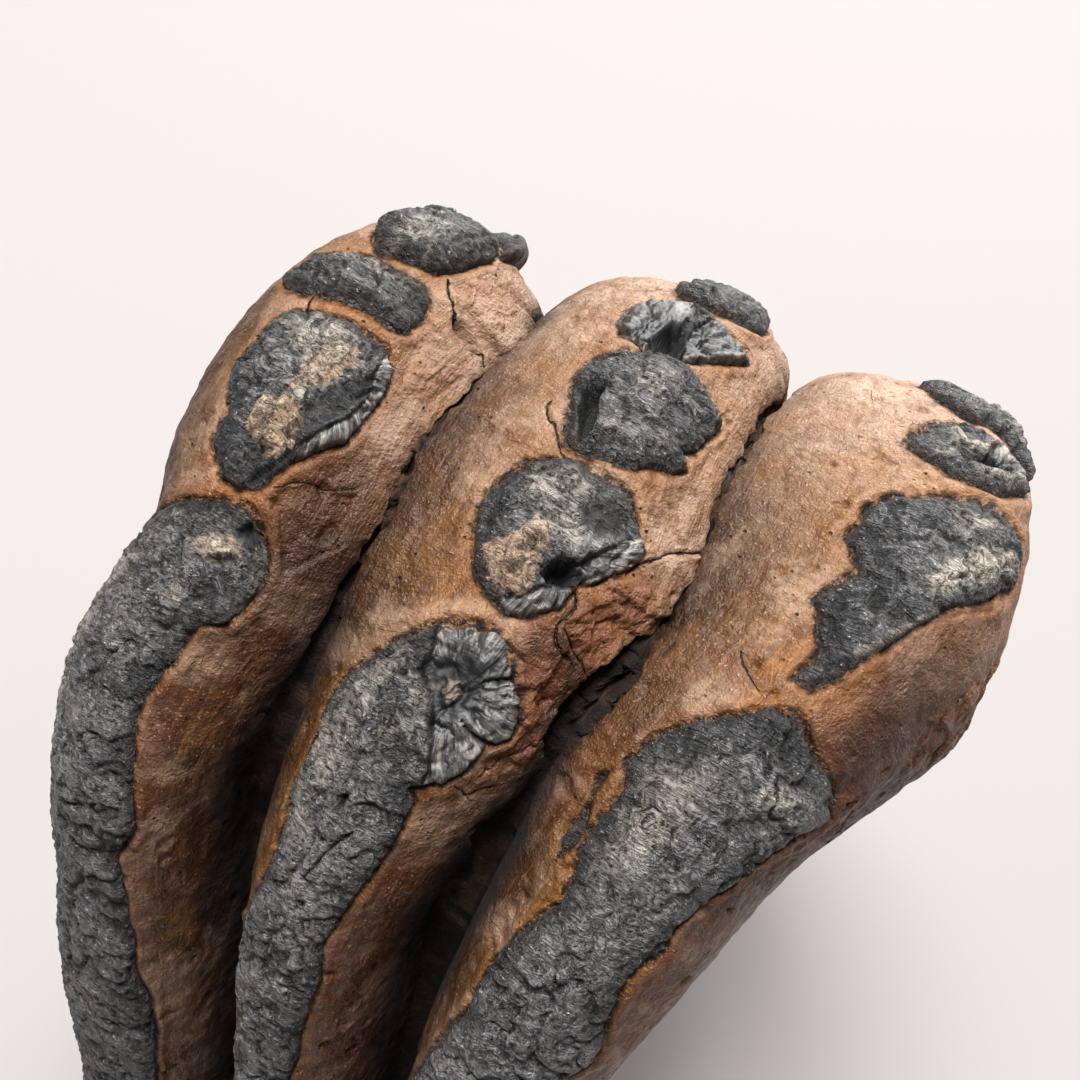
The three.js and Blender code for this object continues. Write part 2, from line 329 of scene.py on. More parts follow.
# Enamel fingers: name, plate, rise of the enamel over the cement, width of its rounded shoulder, the (turn,
# s) corners up to which its fine patch carries cement round it, and the enamel's outlines as (turn, s). A
# front or rear ridge runs down to the foot, past s = 0.
FINGERS = [
    ("ridge_1", 0, 0.38, 2.2, [(-88, 0), (88, 68.5)], [[
        (-62, -6), (-62, 20), (-64, 40), (-62, 55), (-60, 63), (-55, 66), (-31, 67.2), (-14, 67.9),
        (2, 68.2), (14, 67.8), (23, 66.9), (28, 65.6), (29, 64.2), (26, 63.2), (19, 62.4), (20, 60.5),
        (15, 58.2), (16, 56.6), (21, 53.5), (27, 51), (16, 48.6), (22, 45.6), (25, 43), (24, 40.5),
        (33, 37.5), (34, 35), (29, 28), (29, 15), (28, -6)]]),
    ("tip_1b", 0, 0.55, 1.5, [(-88, 67.5), (88, 79)], [[
        (-17, 68.6), (-28, 70), (-33, 72), (-40, 73.8), (-36, 75.4), (-32, 76.7), (-24, 77.5), (-12, 78),
        (7, 78.4), (24, 78.4), (32, 77.8), (34, 76.6), (32, 75.4), (27, 73.2), (19, 72.3), (8, 70.7),
        (1, 69), (-6, 68.6)]]),
    ("tip_1c", 0, 0.42, 1.1, [(-88, 78.2), (88, 83.5)], [[
        (-43, 79.4), (-36, 78.8), (-25, 78.7), (-15, 78.8), (-4, 79), (7, 79.1), (17, 79.4), (25, 79.9),
        (26, 81.3), (21, 82.1), (14, 82.5), (3, 82.6), (-11, 82.4), (-26, 82.2), (-38, 81.4)]]),
    ("tip_1d", 0, 0.85, 1.7, [(-88, 82.8), (88, 91)], [[
        (-37, 85), (-27, 83.6), (-15, 82.8), (-7, 82.8), (5, 83.4), (12, 83.8), (18, 85.2), (21, 87),
        (15, 88.6), (0, 89.2), (-16, 88.8), (-31, 87.4)]]),
    ("tip_1e", 0, 1.50, 2.2, [], [[
        (-12, 90.4), (0, 89.9), (9, 89.4), (15, 88.3), (20, 88.2), (22, 90), (17, 92.2), (8, 93.6),
        (-4, 93.6), (-14, 92)]]),
    ("ridge_2", 1, 0.38, 2.2, [(-88, 0), (88, 69)], [[
        (-34, -6), (-34, 20), (-36, 37), (-46, 47), (-34, 51.9), (-30, 54.4), (-29, 56.4), (-35, 58.5),
        (-34, 60.3), (-42, 62.2), (-44, 63.6), (-38, 65.4), (-31, 66.8), (-24, 68), (-11, 69.1), (1, 69),
        (13, 68.3), (20, 67.7), (29, 67.4), (36, 66.4), (37, 65.6), (31, 64.6), (33, 63.4), (30, 62.2),
        (18, 61.3), (25, 60.7), (28, 59.4), (27, 57.8), (24, 56), (16, 51.4), (23, 49), (19, 45.5),
        (12, 40), (20, 30), (18, 15), (20, -6)]]),
    ("tip_2b", 1, 0.50, 1.5, [(-88, 68), (88, 78.6)], [[
        (-16, 70.5), (-5, 69.9), (5, 70.3), (16, 71.3), (17, 72.8), (25, 73.6), (33, 75.3), (34, 76.1),
        (26, 77), (16, 77.9), (2, 78), (-14, 77.9), (-24, 76.9), (-30, 75), (-32, 73.8), (-26, 72.1)]]),
    ("tip_2c", 1, 0.50, 1.4, [(-88, 77.8), (88, 86)], [[
        (-28, 82.3), (-26, 84), (-19, 85), (-6, 85.6), (10, 85.8), (26, 85.7), (41, 85.5), (47, 85),
        (39, 83.6), (37, 82.4), (31, 81.9), (37, 81.2), (32, 80.5), (22, 80), (12, 79), (0, 78.7),
        (-10, 78.3), (-17, 78.4), (-20, 79.8), (-24, 81)]]),
    ("tip_2d", 1, 0.60, 1.2, [(-88, 85.2), (88, 93)], [[
        (-21, 86.2), (-26, 87.4), (-27, 88.8), (-22, 89.7), (-12, 90.4), (0, 90.8), (11, 90.6), (22, 90.4),
        (37, 90.2), (28, 88.8), (17, 87.3), (8, 86.3), (-1, 85.2), (-8, 85.4), (-14, 86)]]),
    ("tip_2e", 1, 0.70, 1.7, [], [[
        (-20, 92.6), (-16, 91.7), (-8, 91.4), (1, 91.5), (11, 92), (21, 92.3), (29, 93), (30, 94.2),
        (24, 95.8), (10, 96.8), (-6, 96.6), (-16, 95.3)]]),
    ("ridge_3", 2, 0.40, 2.2, [(-88, 0), (88, 72.5)], [[
        (-44, -6), (-44, 20), (-48, 36), (-48, 43), (-41, 47), (-38, 50), (-30, 53), (-33, 56), (-32, 58.2),
        (-23, 60.4), (-28, 62), (-34, 64), (-33, 66.1), (-38, 67.4), (-35, 68.8), (-25, 70.2), (-12, 71.6),
        (-3, 72.3), (3, 72.2), (10, 71.7), (21, 71.3), (32, 71.1), (41, 70.8), (48, 70.2), (51, 69.5),
        (47, 68.6), (41, 67.4), (37, 66.1), (30, 64.4), (23, 62.5), (29, 61.2), (25, 59), (30, 57),
        (38, 55.2), (41, 53.6), (33, 52.4), (34, 46), (32, 38), (28, 25), (30, -6)],
        [(-43, 63.4), (-38, 62.3), (-37, 63.8), (-41, 65)],
        [(-46, 66), (-42, 65.3), (-42, 66.6)]]),
    ("tip_3b", 2, 0.36, 1.5, [(-88, 71.8), (88, 85.5)], [[
        (-24, 80.6), (-22, 82.4), (-17, 83.7), (-4, 84.8), (4, 85.5), (14, 85.8), (24, 85.8), (36, 85.6),
        (43, 85), (42, 83.6), (38, 82.9), (29, 81.6), (20, 80.3), (13, 79.1), (8, 77.2), (0, 74.7),
        (-5, 73.4), (-11, 73.5), (-11, 75.3), (-17, 76.3), (-22, 77.2), (-19, 78.4), (-16, 79.3)]]),
    ("tip_3c", 2, 0.45, 1.1, [(-88, 84.8), (88, 93)], [[
        (-21, 87.1), (-20, 88.3), (-16, 89.6), (-6, 90.9), (4, 91.1), (14, 90.7), (26, 90), (39, 89.6),
        (33, 88.5), (25, 87.8), (14, 86.8), (3, 86.5), (-7, 86), (-14, 86.6)]]),
    ("tip_3d", 2, 0.60, 1.2, [], [[
        (-22, 94), (-14, 92.6), (-6, 91.9), (6, 92.1), (14, 91.7), (26, 91), (40, 90.6), (42, 92),
        (30, 94.4), (14, 95.6), (-6, 96), (-16, 95.6)]]),
]
REAR_RIDGES = [
    [(-24, 95.5), (-8, 94.6), (10, 94.6), (25, 95.8), (30, 100), (26, 110), (31, 122), (27, 140), (30, 170),
     (-30, 170), (-27, 145), (-33, 128), (-28, 112), (-32, 101)],
    [(-26, 99), (-8, 97.6), (10, 97.8), (26, 99.4), (30, 106), (25, 118), (30, 130), (27, 170), (-28, 170),
     (-32, 140), (-26, 126), (-31, 112)],
    [(-28, 99.5), (-10, 98), (10, 98), (26, 99.6), (31, 108), (27, 120), (32, 134), (28, 170), (-30, 170),
     (-26, 146), (-32, 130), (-27, 114)],
]
ENAMEL_OUTLINES = [
    [outline for finger in FINGERS if finger[1] == p for outline in finger[-1]] + [REAR_RIDGES[p]]
    for p in range(PLATES)]
RAGGED = [(1.9, 0.22), (0.9, 0.1)]  # size and height, in mm, of the waves in every enamel border


def enamel_inside(outlines, turn, s, points):
    """Greatest inside_by over the outlines, shifted by noise on the points so that the borders are ragged."""
    deepest = np.max([inside_by(o, turn, s) for o in outlines], axis=0)
    return deepest + sum(height * lumps(points, size, 40 + i) for i, (size, height) in enumerate(RAGGED))


def line_of(route, turn, s):
    """Signed distance in mm from a line of (turn, s) points on the chart, positive to its left, and the share
    of the way along it at which the nearest point lies, from 0 to 1."""
    stops = on_chart(route)
    point = chart(turn, s)
    nearest = np.full(point.shape[:-1], np.inf)
    signed, share_along = nearest.copy(), nearest.copy()
    for i, (a, b) in enumerate(zip(stops, stops[1:])):
        side, off = b - a, point - a
        share = np.clip(off @ side / (side @ side), 0, 1)
        distance = np.hypot(*np.moveaxis(off - share[..., None] * side, -1, 0))
        left = np.sign(side[0] * off[..., 1] - side[1] * off[..., 0])
        closer = distance < nearest
        signed = np.where(closer, left * distance, signed)
        share_along = np.where(closer, (i + share) / (len(stops) - 1), share_along)
        nearest = np.where(closer, distance, nearest)
    return signed, share_along


def oval(at, radii, turn, s):
    """1 at the middle (turn, s) of an ellipse on the chart, 0 on its rim and negative outside it. radii are
    in mm, across and along."""
    off = chart(turn, s) - on_chart(at)
    return 1 - np.hypot(off[..., 0] / radii[0], off[..., 1] / radii[1])


# Cracks in the cement: plate, half width in mm, and their (turn, s) stops.
CEMENT_CRACKS = [
    (1, 0.048, [(15, 72.6), (21, 71.9), (19, 70.7), (24, 70.1), (31, 69.9), (39, 70.1), (48, 69.6)]),
    (1, 0.048, [(31, 74.6), (39, 75.9), (49, 77.1), (66, 78.2), (86, 79.1)]),
    (1, 0.036, [(-30, 80.8), (-29, 80.2), (-25, 79.5), (-18, 78.5), (-12, 77.8), (-9, 77.4)]),
    (0, 0.048, [(-28, 80), (-22, 79.2), (-19, 78.2), (-15, 77.3)]),
    (2, 0.024, [(-33, 73.9), (-28, 73.3), (-23, 73.0), (-16, 72.3)]),
    (1, 0.036, [(18, 71), (31, 70.5), (46, 70.3), (58, 69.9), (66, 68.6)]),
    (1, 0.042, [(-18, 86.3), (-11, 85.6), (-5, 84.9)]),
    (1, 0.036, [(20, 90.3), (30, 91), (38, 90.8)]),
    (0, 0.03, [(6, 69.4), (14, 70.2), (21, 70.7), (31, 70.9), (48, 71.9)]),
    (0, 0.054, [(16, 84), (24, 83.4), (31, 82.9), (49, 82.1), (62, 82.3), (76, 82)]),
    (1, 0.03, [(40, 63), (46, 64.6), (56, 66), (60, 67.6)]),
    (1, 0.03, [(34, 62.4), (44, 62.2), (55, 63.4)]),
]
# Angular steps in the cement: plate, outline, height inside it, width of its edge.
CEMENT_STEPS = [
    (1, [(56, 74), (54, 77.2), (86, 79.1), (89, 75.6), (68, 74.3)], 0.28, 0.12),
    (1, [(26, 73.5), (38, 73.8), (55, 74.1), (36, 75), (30, 74.4)], 0.22, 0.10),
    (1, [(20, 71), (31, 70.3), (34, 67.5), (44, 66.8), (62, 68.5), (55, 72.5), (34, 73.4)], -0.16, 0.15),
    (0, [(22, 84.6), (31, 83.2), (60, 82.9), (80, 83.4), (80, 89), (46, 86.8), (30, 86.2)], 0.45, 0.55),
    (0, [(20, 82.6), (30, 81.9), (48, 81.2), (66, 80.8), (60, 77), (38, 77.5), (34, 80)], 0.18, 0.7),
    (0, [(10, 69.4), (21, 70.6), (31, 70.9), (48, 71.8), (60, 69.4), (34, 66.4)], -0.14, 0.10),
]
# Patches of flaked cement: plate, middle, radii, height of the steps.
FLAKED = [
    (1, (32, 67.8), (2.2, 2.2), 0.34),
    (1, (46, 72.4), (3.6, 3.4), 0.26),
    (1, (50, 64.5), (1.6, 2.6), 0.22),
    (0, (40, 85), (2.6, 1.8), 0.14),
    (0, (50, 79.5), (2.4, 2.4), 0.12),
    (2, (60, 69), (2.6, 4.5), 0.14),
    (2, (66, 78.5), (2.4, 4.5), 0.14),
    (2, (-56, 66), (1.4, 3), 0.12),
]
# Hollows in the cement, painted black inside as painted shade: plate, outline, depth, how black.
CEMENT_HOLLOWS = [
    (0, [(31, 82.6), (40, 83), (52, 82.9), (63, 82.3), (52, 81.7), (38, 82)], 0.75, 0.25),
    (1, [(57, 66.4), (54, 68.6), (60, 71.6), (70, 73.4), (89, 73.6), (89, 65)], 1.9, 1.3),
    (2, [(-89, 65.5), (-72, 66.8), (-62, 69), (-63, 71.2), (-74, 72.6), (-89, 73)], 1.5, 1.3),
    (2, [(-64, 72.4), (-60, 72.3), (-58, 73.3), (-63, 73.6)], 0.12, 1.1),
    (2, [(-62, 80.1), (-59, 80.1), (-59, 80.6), (-61, 80.6)], 0.10, 1.0),
    (1, [(-40, 74.6), (-36, 74.3), (-37, 75.6)], 0.12, 0.5),
    (1, [(66, 60), (74, 62), (80, 65), (89, 66), (89, 58)], 0.4, 0.9),
]
CRACK_REACH = 0.5  # a crack marks the cement about this far to each side
NO_CRACK = 3.0  # distance from a crack, in its half widths, that stands for none
NO_ENAMEL = -9.0  # distance inside the enamel that stands for none near
LIP_HEIGHT = 0.10  # of the low bank of cement round the enamel
GROOVE_DEPTH = 0.14  # of the worn groove along a crack
CLEFT_SHADE_TURN = (50, 76)  # painted shade darkens a deep cleft between these turns
CLEFT_SHADE_DEPTH = (3.0, 6.0)  # and a cleft counts as deep between these depths of its edge
CLEFT_LINE_TURN = (79, 84)  # the crack itself is dark between these turns

COLLAR = 0.9  # a fine patch reaches at least this far past its enamel
RIM_DIP = 0.15  # and its rim lies this far under the body, whose coarser mesh sinks in turn below its middle
BODY_SINK = 0.4
BURIED_DEPTH = 2.0  # the body stays this far under the enamel


def patch_box(outlines, corners):
    """Lowest and highest chart corner of a fine patch."""
    ends = np.concatenate([on_chart(outline) for outline in outlines])
    low, high = ends.min(0) - COLLAR, ends.max(0) + COLLAR
    for corner in corners:
        low, high = np.minimum(low, on_chart(corner)), np.maximum(high, on_chart(corner))
    return low, high


def in_box(box, turn, s):
    """Distance inside the nearest side of a chart box, in mm."""
    point = chart(turn, s)
    return np.minimum(point - box[0], box[1] - point).min(-1)


GROUND_WAVES = [(0.30, 7, 1), (0.13, 2.2, 2), (0.05, 0.7, 3)]  # height, size and seed
WRINKLE_DEPTH = 0.13
PIT_DEPTH = 0.22


def ground(points):
    """Relief of plain cement in mm: broad swells, lumps, creased wrinkles, and scattered pits."""
    relief = sum(height * rough(points, size, seed) for height, size, seed in GROUND_WAVES)
    wrinkle = np.abs(rough(points, 1.7, 17))**0.7
    pit = smooth_ramp(lumps(points, 1.1, 31) + 0.3 * lumps(points, 0.45, 32), 0.55, 0.95)
    return relief - WRINKLE_DEPTH * wrinkle - PIT_DEPTH * pit


def cement_skin(plate, turn, s, points):
    """Relief and marks of a plate's cement at these places: plain ground, flaked patches, steps, hollows, and
    grooves along the cracks. The edge mark is the distance inside the nearest enamel outline."""
    skin = SimpleNamespace(edge=enamel_inside(ENAMEL_OUTLINES[plate], turn, s, points))
    nothing = 0 * skin.edge
    skin.crack_side, skin.crack_near, skin.dark, skin.flaked = nothing + NO_CRACK, nothing, nothing, nothing
    skin.relief = ground(points)
    for half, route in [crack[1:] for crack in CEMENT_CRACKS if crack[0] == plate]:
        signed, share = line_of(route, turn, s)
        signed = signed + 0.14 * lumps(points, 0.9, 71) + 0.06 * lumps(points, 0.3, 72)
        near = bell(signed, CRACK_REACH) * both_ends(share, 0.12)
        skin.crack_side = np.where(near > skin.crack_near, signed / half, skin.crack_side)
        skin.crack_near = np.maximum(near, skin.crack_near)
    for outline, step, edge in [row[1:] for row in CEMENT_STEPS if row[0] == plate]:
        skin.relief += step * smooth_ramp(inside_by(outline, turn, s) + 0.15 * lumps(points, 0.8, 9), 0, edge)
    # A hollow's black share is painted shade inside it.
    for outline, depth, black in [row[1:] for row in CEMENT_HOLLOWS if row[0] == plate]:
        inside = inside_by(outline, turn, s) + 0.18 * rough(points, 0.9, 5)
        skin.relief -= depth * smooth_ramp(inside, -0.05, 0.5)
        skin.dark = np.maximum(skin.dark, black * smooth_ramp(inside, -0.05, 0.25))
    for at, radii, step in [row[1:] for row in FLAKED if row[0] == plate]:
        share = smooth_ramp(oval(at, radii, turn, s) + 0.2 * lumps(points, 1.3, 6), 0, 0.4)
        flaked = share > 0
        if flaked.any():
            facets = 0.7 * flakes(points[flaked], 1.5, 11) + 0.3 * flakes(points[flaked], 0.7, 23)
            skin.relief[flaked] += share[flaked] * step * facets
            skin.flaked = np.maximum(skin.flaked, share * min(1, step / 0.25))
    lip = bell(skin.edge + 0.5, 0.4)
    skin.relief += lip * (LIP_HEIGHT + 0.16 * lumps(points, 2.2, 8) + 0.08 * lumps(points, 0.9, 7))
    skin.relief -= GROOVE_DEPTH * bell(skin.crack_side, 2) * skin.crack_near
    # The cleft mark paints shade, near black, deep in the inner clefts, and the dark crack line along each.
    side = np.where(turn < 0, plate, plate + 1)
    inner = (side > 0) & (side < PLATES)
    depth = np.where(turn < 0, along(s, EDGE_DEPTH[plate]), along(s, EDGE_DEPTH[plate + 1]))
    ragged_turn = np.abs(turn) + 12 * rough(points, 2.5, 51) + 5 * lumps(points, 0.7, 53)
    skin.cleft = smooth_ramp(ragged_turn, *CLEFT_SHADE_TURN) * inner * smooth_ramp(depth, *CLEFT_SHADE_DEPTH)
    line = smooth_ramp(np.abs(turn) + 2 * rough(points, 1.2, 52), *CLEFT_LINE_TURN) * inner
    skin.relief -= 0.25 * line * smooth_ramp(depth, 6, 5)
    skin.cleft = np.maximum(skin.cleft, line)
    return skin


sections = [(a, b, n) for (a, n), (b, _) in zip(S_STOPS, S_STOPS[1:])]
stations = np.concatenate([np.linspace(a, b or S_END, n, endpoint=False) for a, b, n in sections] + [[S_END]])
rows = len(stations)


def outer_face(rim, share, side):
    """Ring of an outer face: y and z shrink towards the face's middle by share. x keeps the face's mean
    plane, keeps the rim's own offset times share^3, and adds the fluted bulge times (1 - share^3)."""
    y = FACE_CENTRE[0] + (rim[:, 1] - FACE_CENTRE[0]) * share
    z = FACE_CENTRE[1] + (rim[:, 2] - FACE_CENTRE[1]) * share

    def plane(y, z):
        at_axis, along_y, along_z = FACE_PLANES[side > 0]
        return at_axis + along_y * y + along_z * z

    flute = 0.5 + 0.5 * np.cos(2 * np.pi * (y - FLUTE_Y) / FLUTE_PITCH)
    relief = FACE_BULGE - FLUTE_DEPTH * flute * smooth_ramp(z, *FLUTE_FADE_Z)
    offset = (rim[:, 0] - plane(rim[:, 1], rim[:, 2])) * share**3
    return np.stack([plane(y, z) + offset + side * relief * (1 - share**3), y, z], -1)


def with_foot(columns):
    """Closes each column of points by straight lines back under the flat foot."""
    t = np.arange(1, FOOT_SAMPLES)[:, None] / FOOT_SAMPLES
    foot = columns[:, -1:] * (1 - t) + columns[:, :1] * t
    return np.concatenate([columns, foot], axis=1)


# Blocks of the grid's columns, from the left face's middle to the right face's: their points, their plate,
# their turns, and how far in from the rim of an outer face they lie, as a share.
turns = np.linspace(-90, 90, PLATE_SAMPLES + 1)
shares = np.arange(1, FACE_SAMPLES) / FACE_SAMPLES
plate_columns = [with_foot(plate_surface(p, turns[:, None], stations[None])) for p in range(PLATES)]
left_face = np.array([outer_face(plate_columns[0][0], share, -1) for share in shares])
right_face = np.array([outer_face(plate_columns[-1][-1], share, 1) for share in shares[::-1]])
blocks = [(left_face, 0, -90, 1 - shares)]
for p, columns in enumerate(plate_columns):
    blocks.append((columns, p, turns, 0))
    if p + 1 < PLATES:
        cleft_floor = (columns[-1:] + plate_columns[p + 1][:1]) / 2
        inward = -plate_normal(p, np.full(rows, CLEFT_FLOOR_TURN), stations)
        inward[:, 0] = 0
        inward[[0, -1], 2] = 0
        cleft_floor[:, :rows] += CLEFT_DEPTH * inward
        blocks.append((cleft_floor, p, 90, 0))
blocks.append((right_face, PLATES - 1, 90, 1 - shares[::-1]))

cement = np.concatenate([block[0] for block in blocks])
column_plate, column_turn, column_face = (
    np.concatenate([np.zeros(len(block[0])) + block[i] for block in blocks]) for i in (1, 2, 3))
grid_s = np.concatenate([stations, np.full(FOOT_SAMPLES - 1, -1.0)])[None] + 0 * column_turn[:, None]
grid_turn = column_turn[:, None] + 0 * grid_s
of_plate = [(column_plate == p) & (column_face == 0) for p in range(PLATES)]

wrapped = np.concatenate([cement[:, -1:], cement, cement[:, :1]], axis=1)
cement_normal = cross_and_scale(np.gradient(cement, axis=0), (wrapped[:, 2:] - wrapped[:, :-2]) / 2)

on_body = {name: np.zeros(grid_s.shape) for name in ("dark", "flaked", "crack_near", "cleft")}
on_body["edge"] = np.full(grid_s.shape, NO_ENAMEL)
on_body["crack_side"] = np.full(grid_s.shape, NO_CRACK)
relief = ground(cement)
for p in range(PLATES):
    block = np.ix_(of_plate[p], np.arange(rows))
    skin = cement_skin(p, grid_turn[block], grid_s[block], cement[block])
    relief[block] = skin.relief
    for name, values in on_body.items():
        values[block] = getattr(skin, name)

buried = smooth_ramp(on_body["edge"], 0.1, 0.7)
sunk = 0 * relief
for _, p, _, _, corners, outlines in FINGERS:
    under = smooth_ramp(in_box(patch_box(outlines, corners), grid_turn, grid_s), 0.5, 0.9)
    sunk = np.maximum(sunk, BODY_SINK * under * of_plate[p][:, None])
relief = relief * (1 - buried) - BURIED_DEPTH * buried - sunk
relief *= smooth_ramp(cement[..., 2], 0, 3)
cement = cement + relief[..., None] * cement_normal
foot = (column_face[:, None] == 0) & ((grid_s <= 0) | (grid_s >= S_END))
cement[foot, 2] = 0
cement[..., 2] = np.maximum(cement[..., 2], 0)


def closed_faces(rings, around):
    """Quads between successive rings of a closed tube, and fans from its first and last ring to two poles.
    The rings' points come first, ring by ring, then the first pole and the last one."""
    ring = np.arange(rings - 1)[:, None] * around
    here = np.arange(around)[None]
    after = (here + 1) % around
    quads = np.stack([ring + here, ring + around + here, ring + around + after, ring + after], -1)
    last = (rings - 1) * around
    count = rings * around
    here, after = here[0], after[0]
    first_fan = np.stack([here, after, np.full(around, count)], -1)
    last_fan = np.stack([last + after, last + here, np.full(around, count + 1)], -1)
    return quads.reshape(-1, 4).tolist() + first_fan.tolist() + last_fan.tolist()


def tube_mesh(name, grid, poles, marks):
    """Mesh from a grid of rings in mm, its two poles, and named marks: a number or vector for each point."""
    rings, around = grid.shape[:2]
    points = np.concatenate([grid.reshape(-1, 3), np.asarray(poles)]) * MM
    mesh = bpy.data.meshes.new(name)
    mesh.from_pydata(points.tolist(), [], closed_faces(rings, around))
    mesh.polygons.foreach_set("use_smooth", np.ones(len(mesh.polygons), bool))
    for mark, values in marks.items():
        size = 3 if values.ndim == 3 else 1
        values = values.reshape(-1, size)
        ends = np.stack([values[:around].mean(0), values[-around:].mean(0)])
        values = np.concatenate([values, ends]).astype(np.float32)
        kind, field = (("FLOAT_VECTOR", "vector"), ("FLOAT", "value"))[size == 1]
        mesh.attributes.new(mark, kind, "POINT").data.foreach_set(field, values.ravel())
    mesh.update()
    piece = bpy.data.objects.new(name, mesh)
    bpy.context.scene.collection.objects.link(piece)
    return piece


def hex_colour(code):
    """Linear RGBA from an sRGB hex code: channel c becomes ((c + 0.055) / 1.055)^2.4, or c / 12.92."""
    srgb = np.array([int(code[i:i + 2], 16) for i in (1, 3, 5)]) / 255
    linear = np.where(srgb <= 0.04045, srgb / 12.92, ((srgb + 0.055) / 1.055)**2.4)
    return (*linear.tolist(), 1.0)


def add(material, kind, *inputs, out=None, stops=(), **settings):
    """Adds a node and returns its output `out`, or its first one. Settings that name a property of the node
    are set on it. The other settings, with _ for a space, and the inputs in their order, are values for its
    sockets or sockets to link to them. stops are a colour ramp's (place, colour) pairs."""
    tree = material.node_tree
    new = tree.nodes.new("ShaderNode" + kind)
    to_sockets = {}
    for key, value in settings.items():
        if hasattr(new, key):
            setattr(new, key, value)
        else:
            to_sockets[key.replace("_", " ")] = value
    open_inputs = [socket for socket in new.inputs if socket.enabled]
    pairs = list(zip(open_inputs, inputs)) + [(new.inputs[key], value) for key, value in to_sockets.items()]
    for socket, value in pairs:
        if isinstance(value, bpy.types.NodeSocket):
            tree.links.new(value, socket)
        else:
            socket.default_value = value
    for i, (place, colour) in enumerate(stops):
        if i > 1:
            new.color_ramp.elements.new(place)
        new.color_ramp.elements[i].position = place
        new.color_ramp.elements[i].color = hex_colour(colour)
    return new.outputs[out] if out else next(socket for socket in new.outputs if socket.enabled)


def start_material(name):
    """New node material with only its output, and its Object coordinates turned to millimetres."""
    material = bpy.data.materials.new(name)
    material.use_nodes = True
    for old in list(material.node_tree.nodes):
        if old.type != "OUTPUT_MATERIAL":
            material.node_tree.nodes.remove(old)
    place = add(material, "TexCoord", out="Object")
    return material, add(material, "Mapping", place, Scale=(1 / MM, 1 / MM, 1 / MM))


def mask(material, *parts):
    """Product of two parts or more. Each is a socket, or a tuple: a socket, the two values of it that give
    0 and 1, and the two shares that they give if those aren't 0 and 1."""
    shares = [add(material, "MapRange", *part) if isinstance(part, tuple) else part for part in parts]
    product = shares[0]
    for share in shares[1:]:
        product = add(material, "Math", product, share, operation="MULTIPLY")
    return product


def show(material, shader):
    """Links the shader to the material's surface."""
    material.node_tree.links.new(shader, material.node_tree.nodes["Material Output"].inputs["Surface"])


# Fossil crown cement: tooth cement soaked with iron and hardened, then rubbed. It gives the eye brown tones
# streaked along the plates, fine pores and grains, and a waxy gloss broken by small bumps.
cementum, in_mm = start_material("fossil_cementum")
chart_at = add(cementum, "Attribute", attribute_name="chart", out="Vector")
lengthways = add(cementum, "SeparateXYZ", chart_at, out="Y")
across = lengthways.node.outputs["X"]
mark = SimpleNamespace(**{name: add(cementum, "Attribute", attribute_name=name, out="Fac") for name in (
    "turn", "face", "edge", "flaked", "dark", "cleft", "crack_side", "crack_near")})
THIRD_PLATE = (44, 45)  # between the charts of the second and the third plate
off_plates = add(cementum, "MapRange", mark.face, 0, 0.3)
on_chart_way = add(cementum, "Mapping", chart_at, Scale=(2.2, 0.24, 1))
upright_way = add(cementum, "Mapping", in_mm, Scale=(1.6, 1.6, 0.16))
streak_way = add(cementum, "Mix", off_plates, on_chart_way, upright_way, data_type="VECTOR")
fibre_way = add(cementum, "Mapping", chart_at, Scale=(6.5, 1.1, 1))
# Name, place, waves in each mm of it, detail, roughness and distortion. Streaks are 0.5 mm wide and 4 mm
# long, fibres 0.15 mm wide, stains 6 mm, blotches 2 mm, grains 0.5 mm, grit 0.15 mm and pores 0.2 mm. Real
# fibres and pores are finer, and are drawn as coarse as they need to show.
noise = SimpleNamespace(**{
    name: add(cementum, "TexNoise", place, Scale=waves, Detail=detail, Roughness=rough_by, Distortion=bent_by)
    for name, place, waves, detail, rough_by, bent_by in (
        ("streak", streak_way, 1, 4, 0.66, 0.4), ("fibre", fibre_way, 1, 2, 0.6, 0.8),
        ("stain", in_mm, 0.17, 5, 0.6, 0.5), ("blotch", in_mm, 0.55, 4, 0.62, 0.7),
        ("grain", in_mm, 2.0, 3, 0.7, 0), ("grit", in_mm, 7, 1, 0.6, 0), ("bend", in_mm, 1.2, 3, 0.5, 0))})
pore = mask(cementum, (add(cementum, "TexVoronoi", in_mm, Scale=1.7), 0.18, 0.08), (noise.blotch, 0.53, 0.60))
craze_way = add(cementum, "Mix", 0.25, in_mm, noise.bend.node.outputs["Color"], data_type="VECTOR")
craze_line = add(cementum, "TexVoronoi", craze_way, Scale=0.75, feature="DISTANCE_TO_EDGE")
craze = mask(cementum, (craze_line, 0.012, 0.004), (noise.stain, 0.60, 0.66))

# The tone goes from left to right over the plates, redder on their flanks and paler over the crown. Both
# ramps also hold painted shade: they darken towards each plate's edges, where the clefts lie, to near black.
side = add(cementum, "MapRange", mark.turn, -90, 90)
flank_tone_and_shade = add(cementum, "ValToRGB", side, stops=[
    (0.0, "#1b1005"), (1.0, "#190b05"), (0.14, "#2c1a0a"), (0.27, "#523412"), (0.40, "#7a4a1c"),
    (0.52, "#713f20"), (0.60, "#5c2f18"), (0.72, "#4a2513")])
crown_tone_and_shade = add(cementum, "ValToRGB", side, stops=[
    (0.0, "#251607"), (1.0, "#3a2416"), (0.14, "#3e2812"), (0.28, "#634019"), (0.43, "#80552c"),
    (0.60, "#7f5534"), (0.78, "#785438")])
rear = add(cementum, "MapRange", lengthways, 106, 122)
above_flank = add(cementum, "MapRange", lengthways, 69, 84)
on_crown = add(cementum, "Math", above_flank, rear, operation="SUBTRACT")
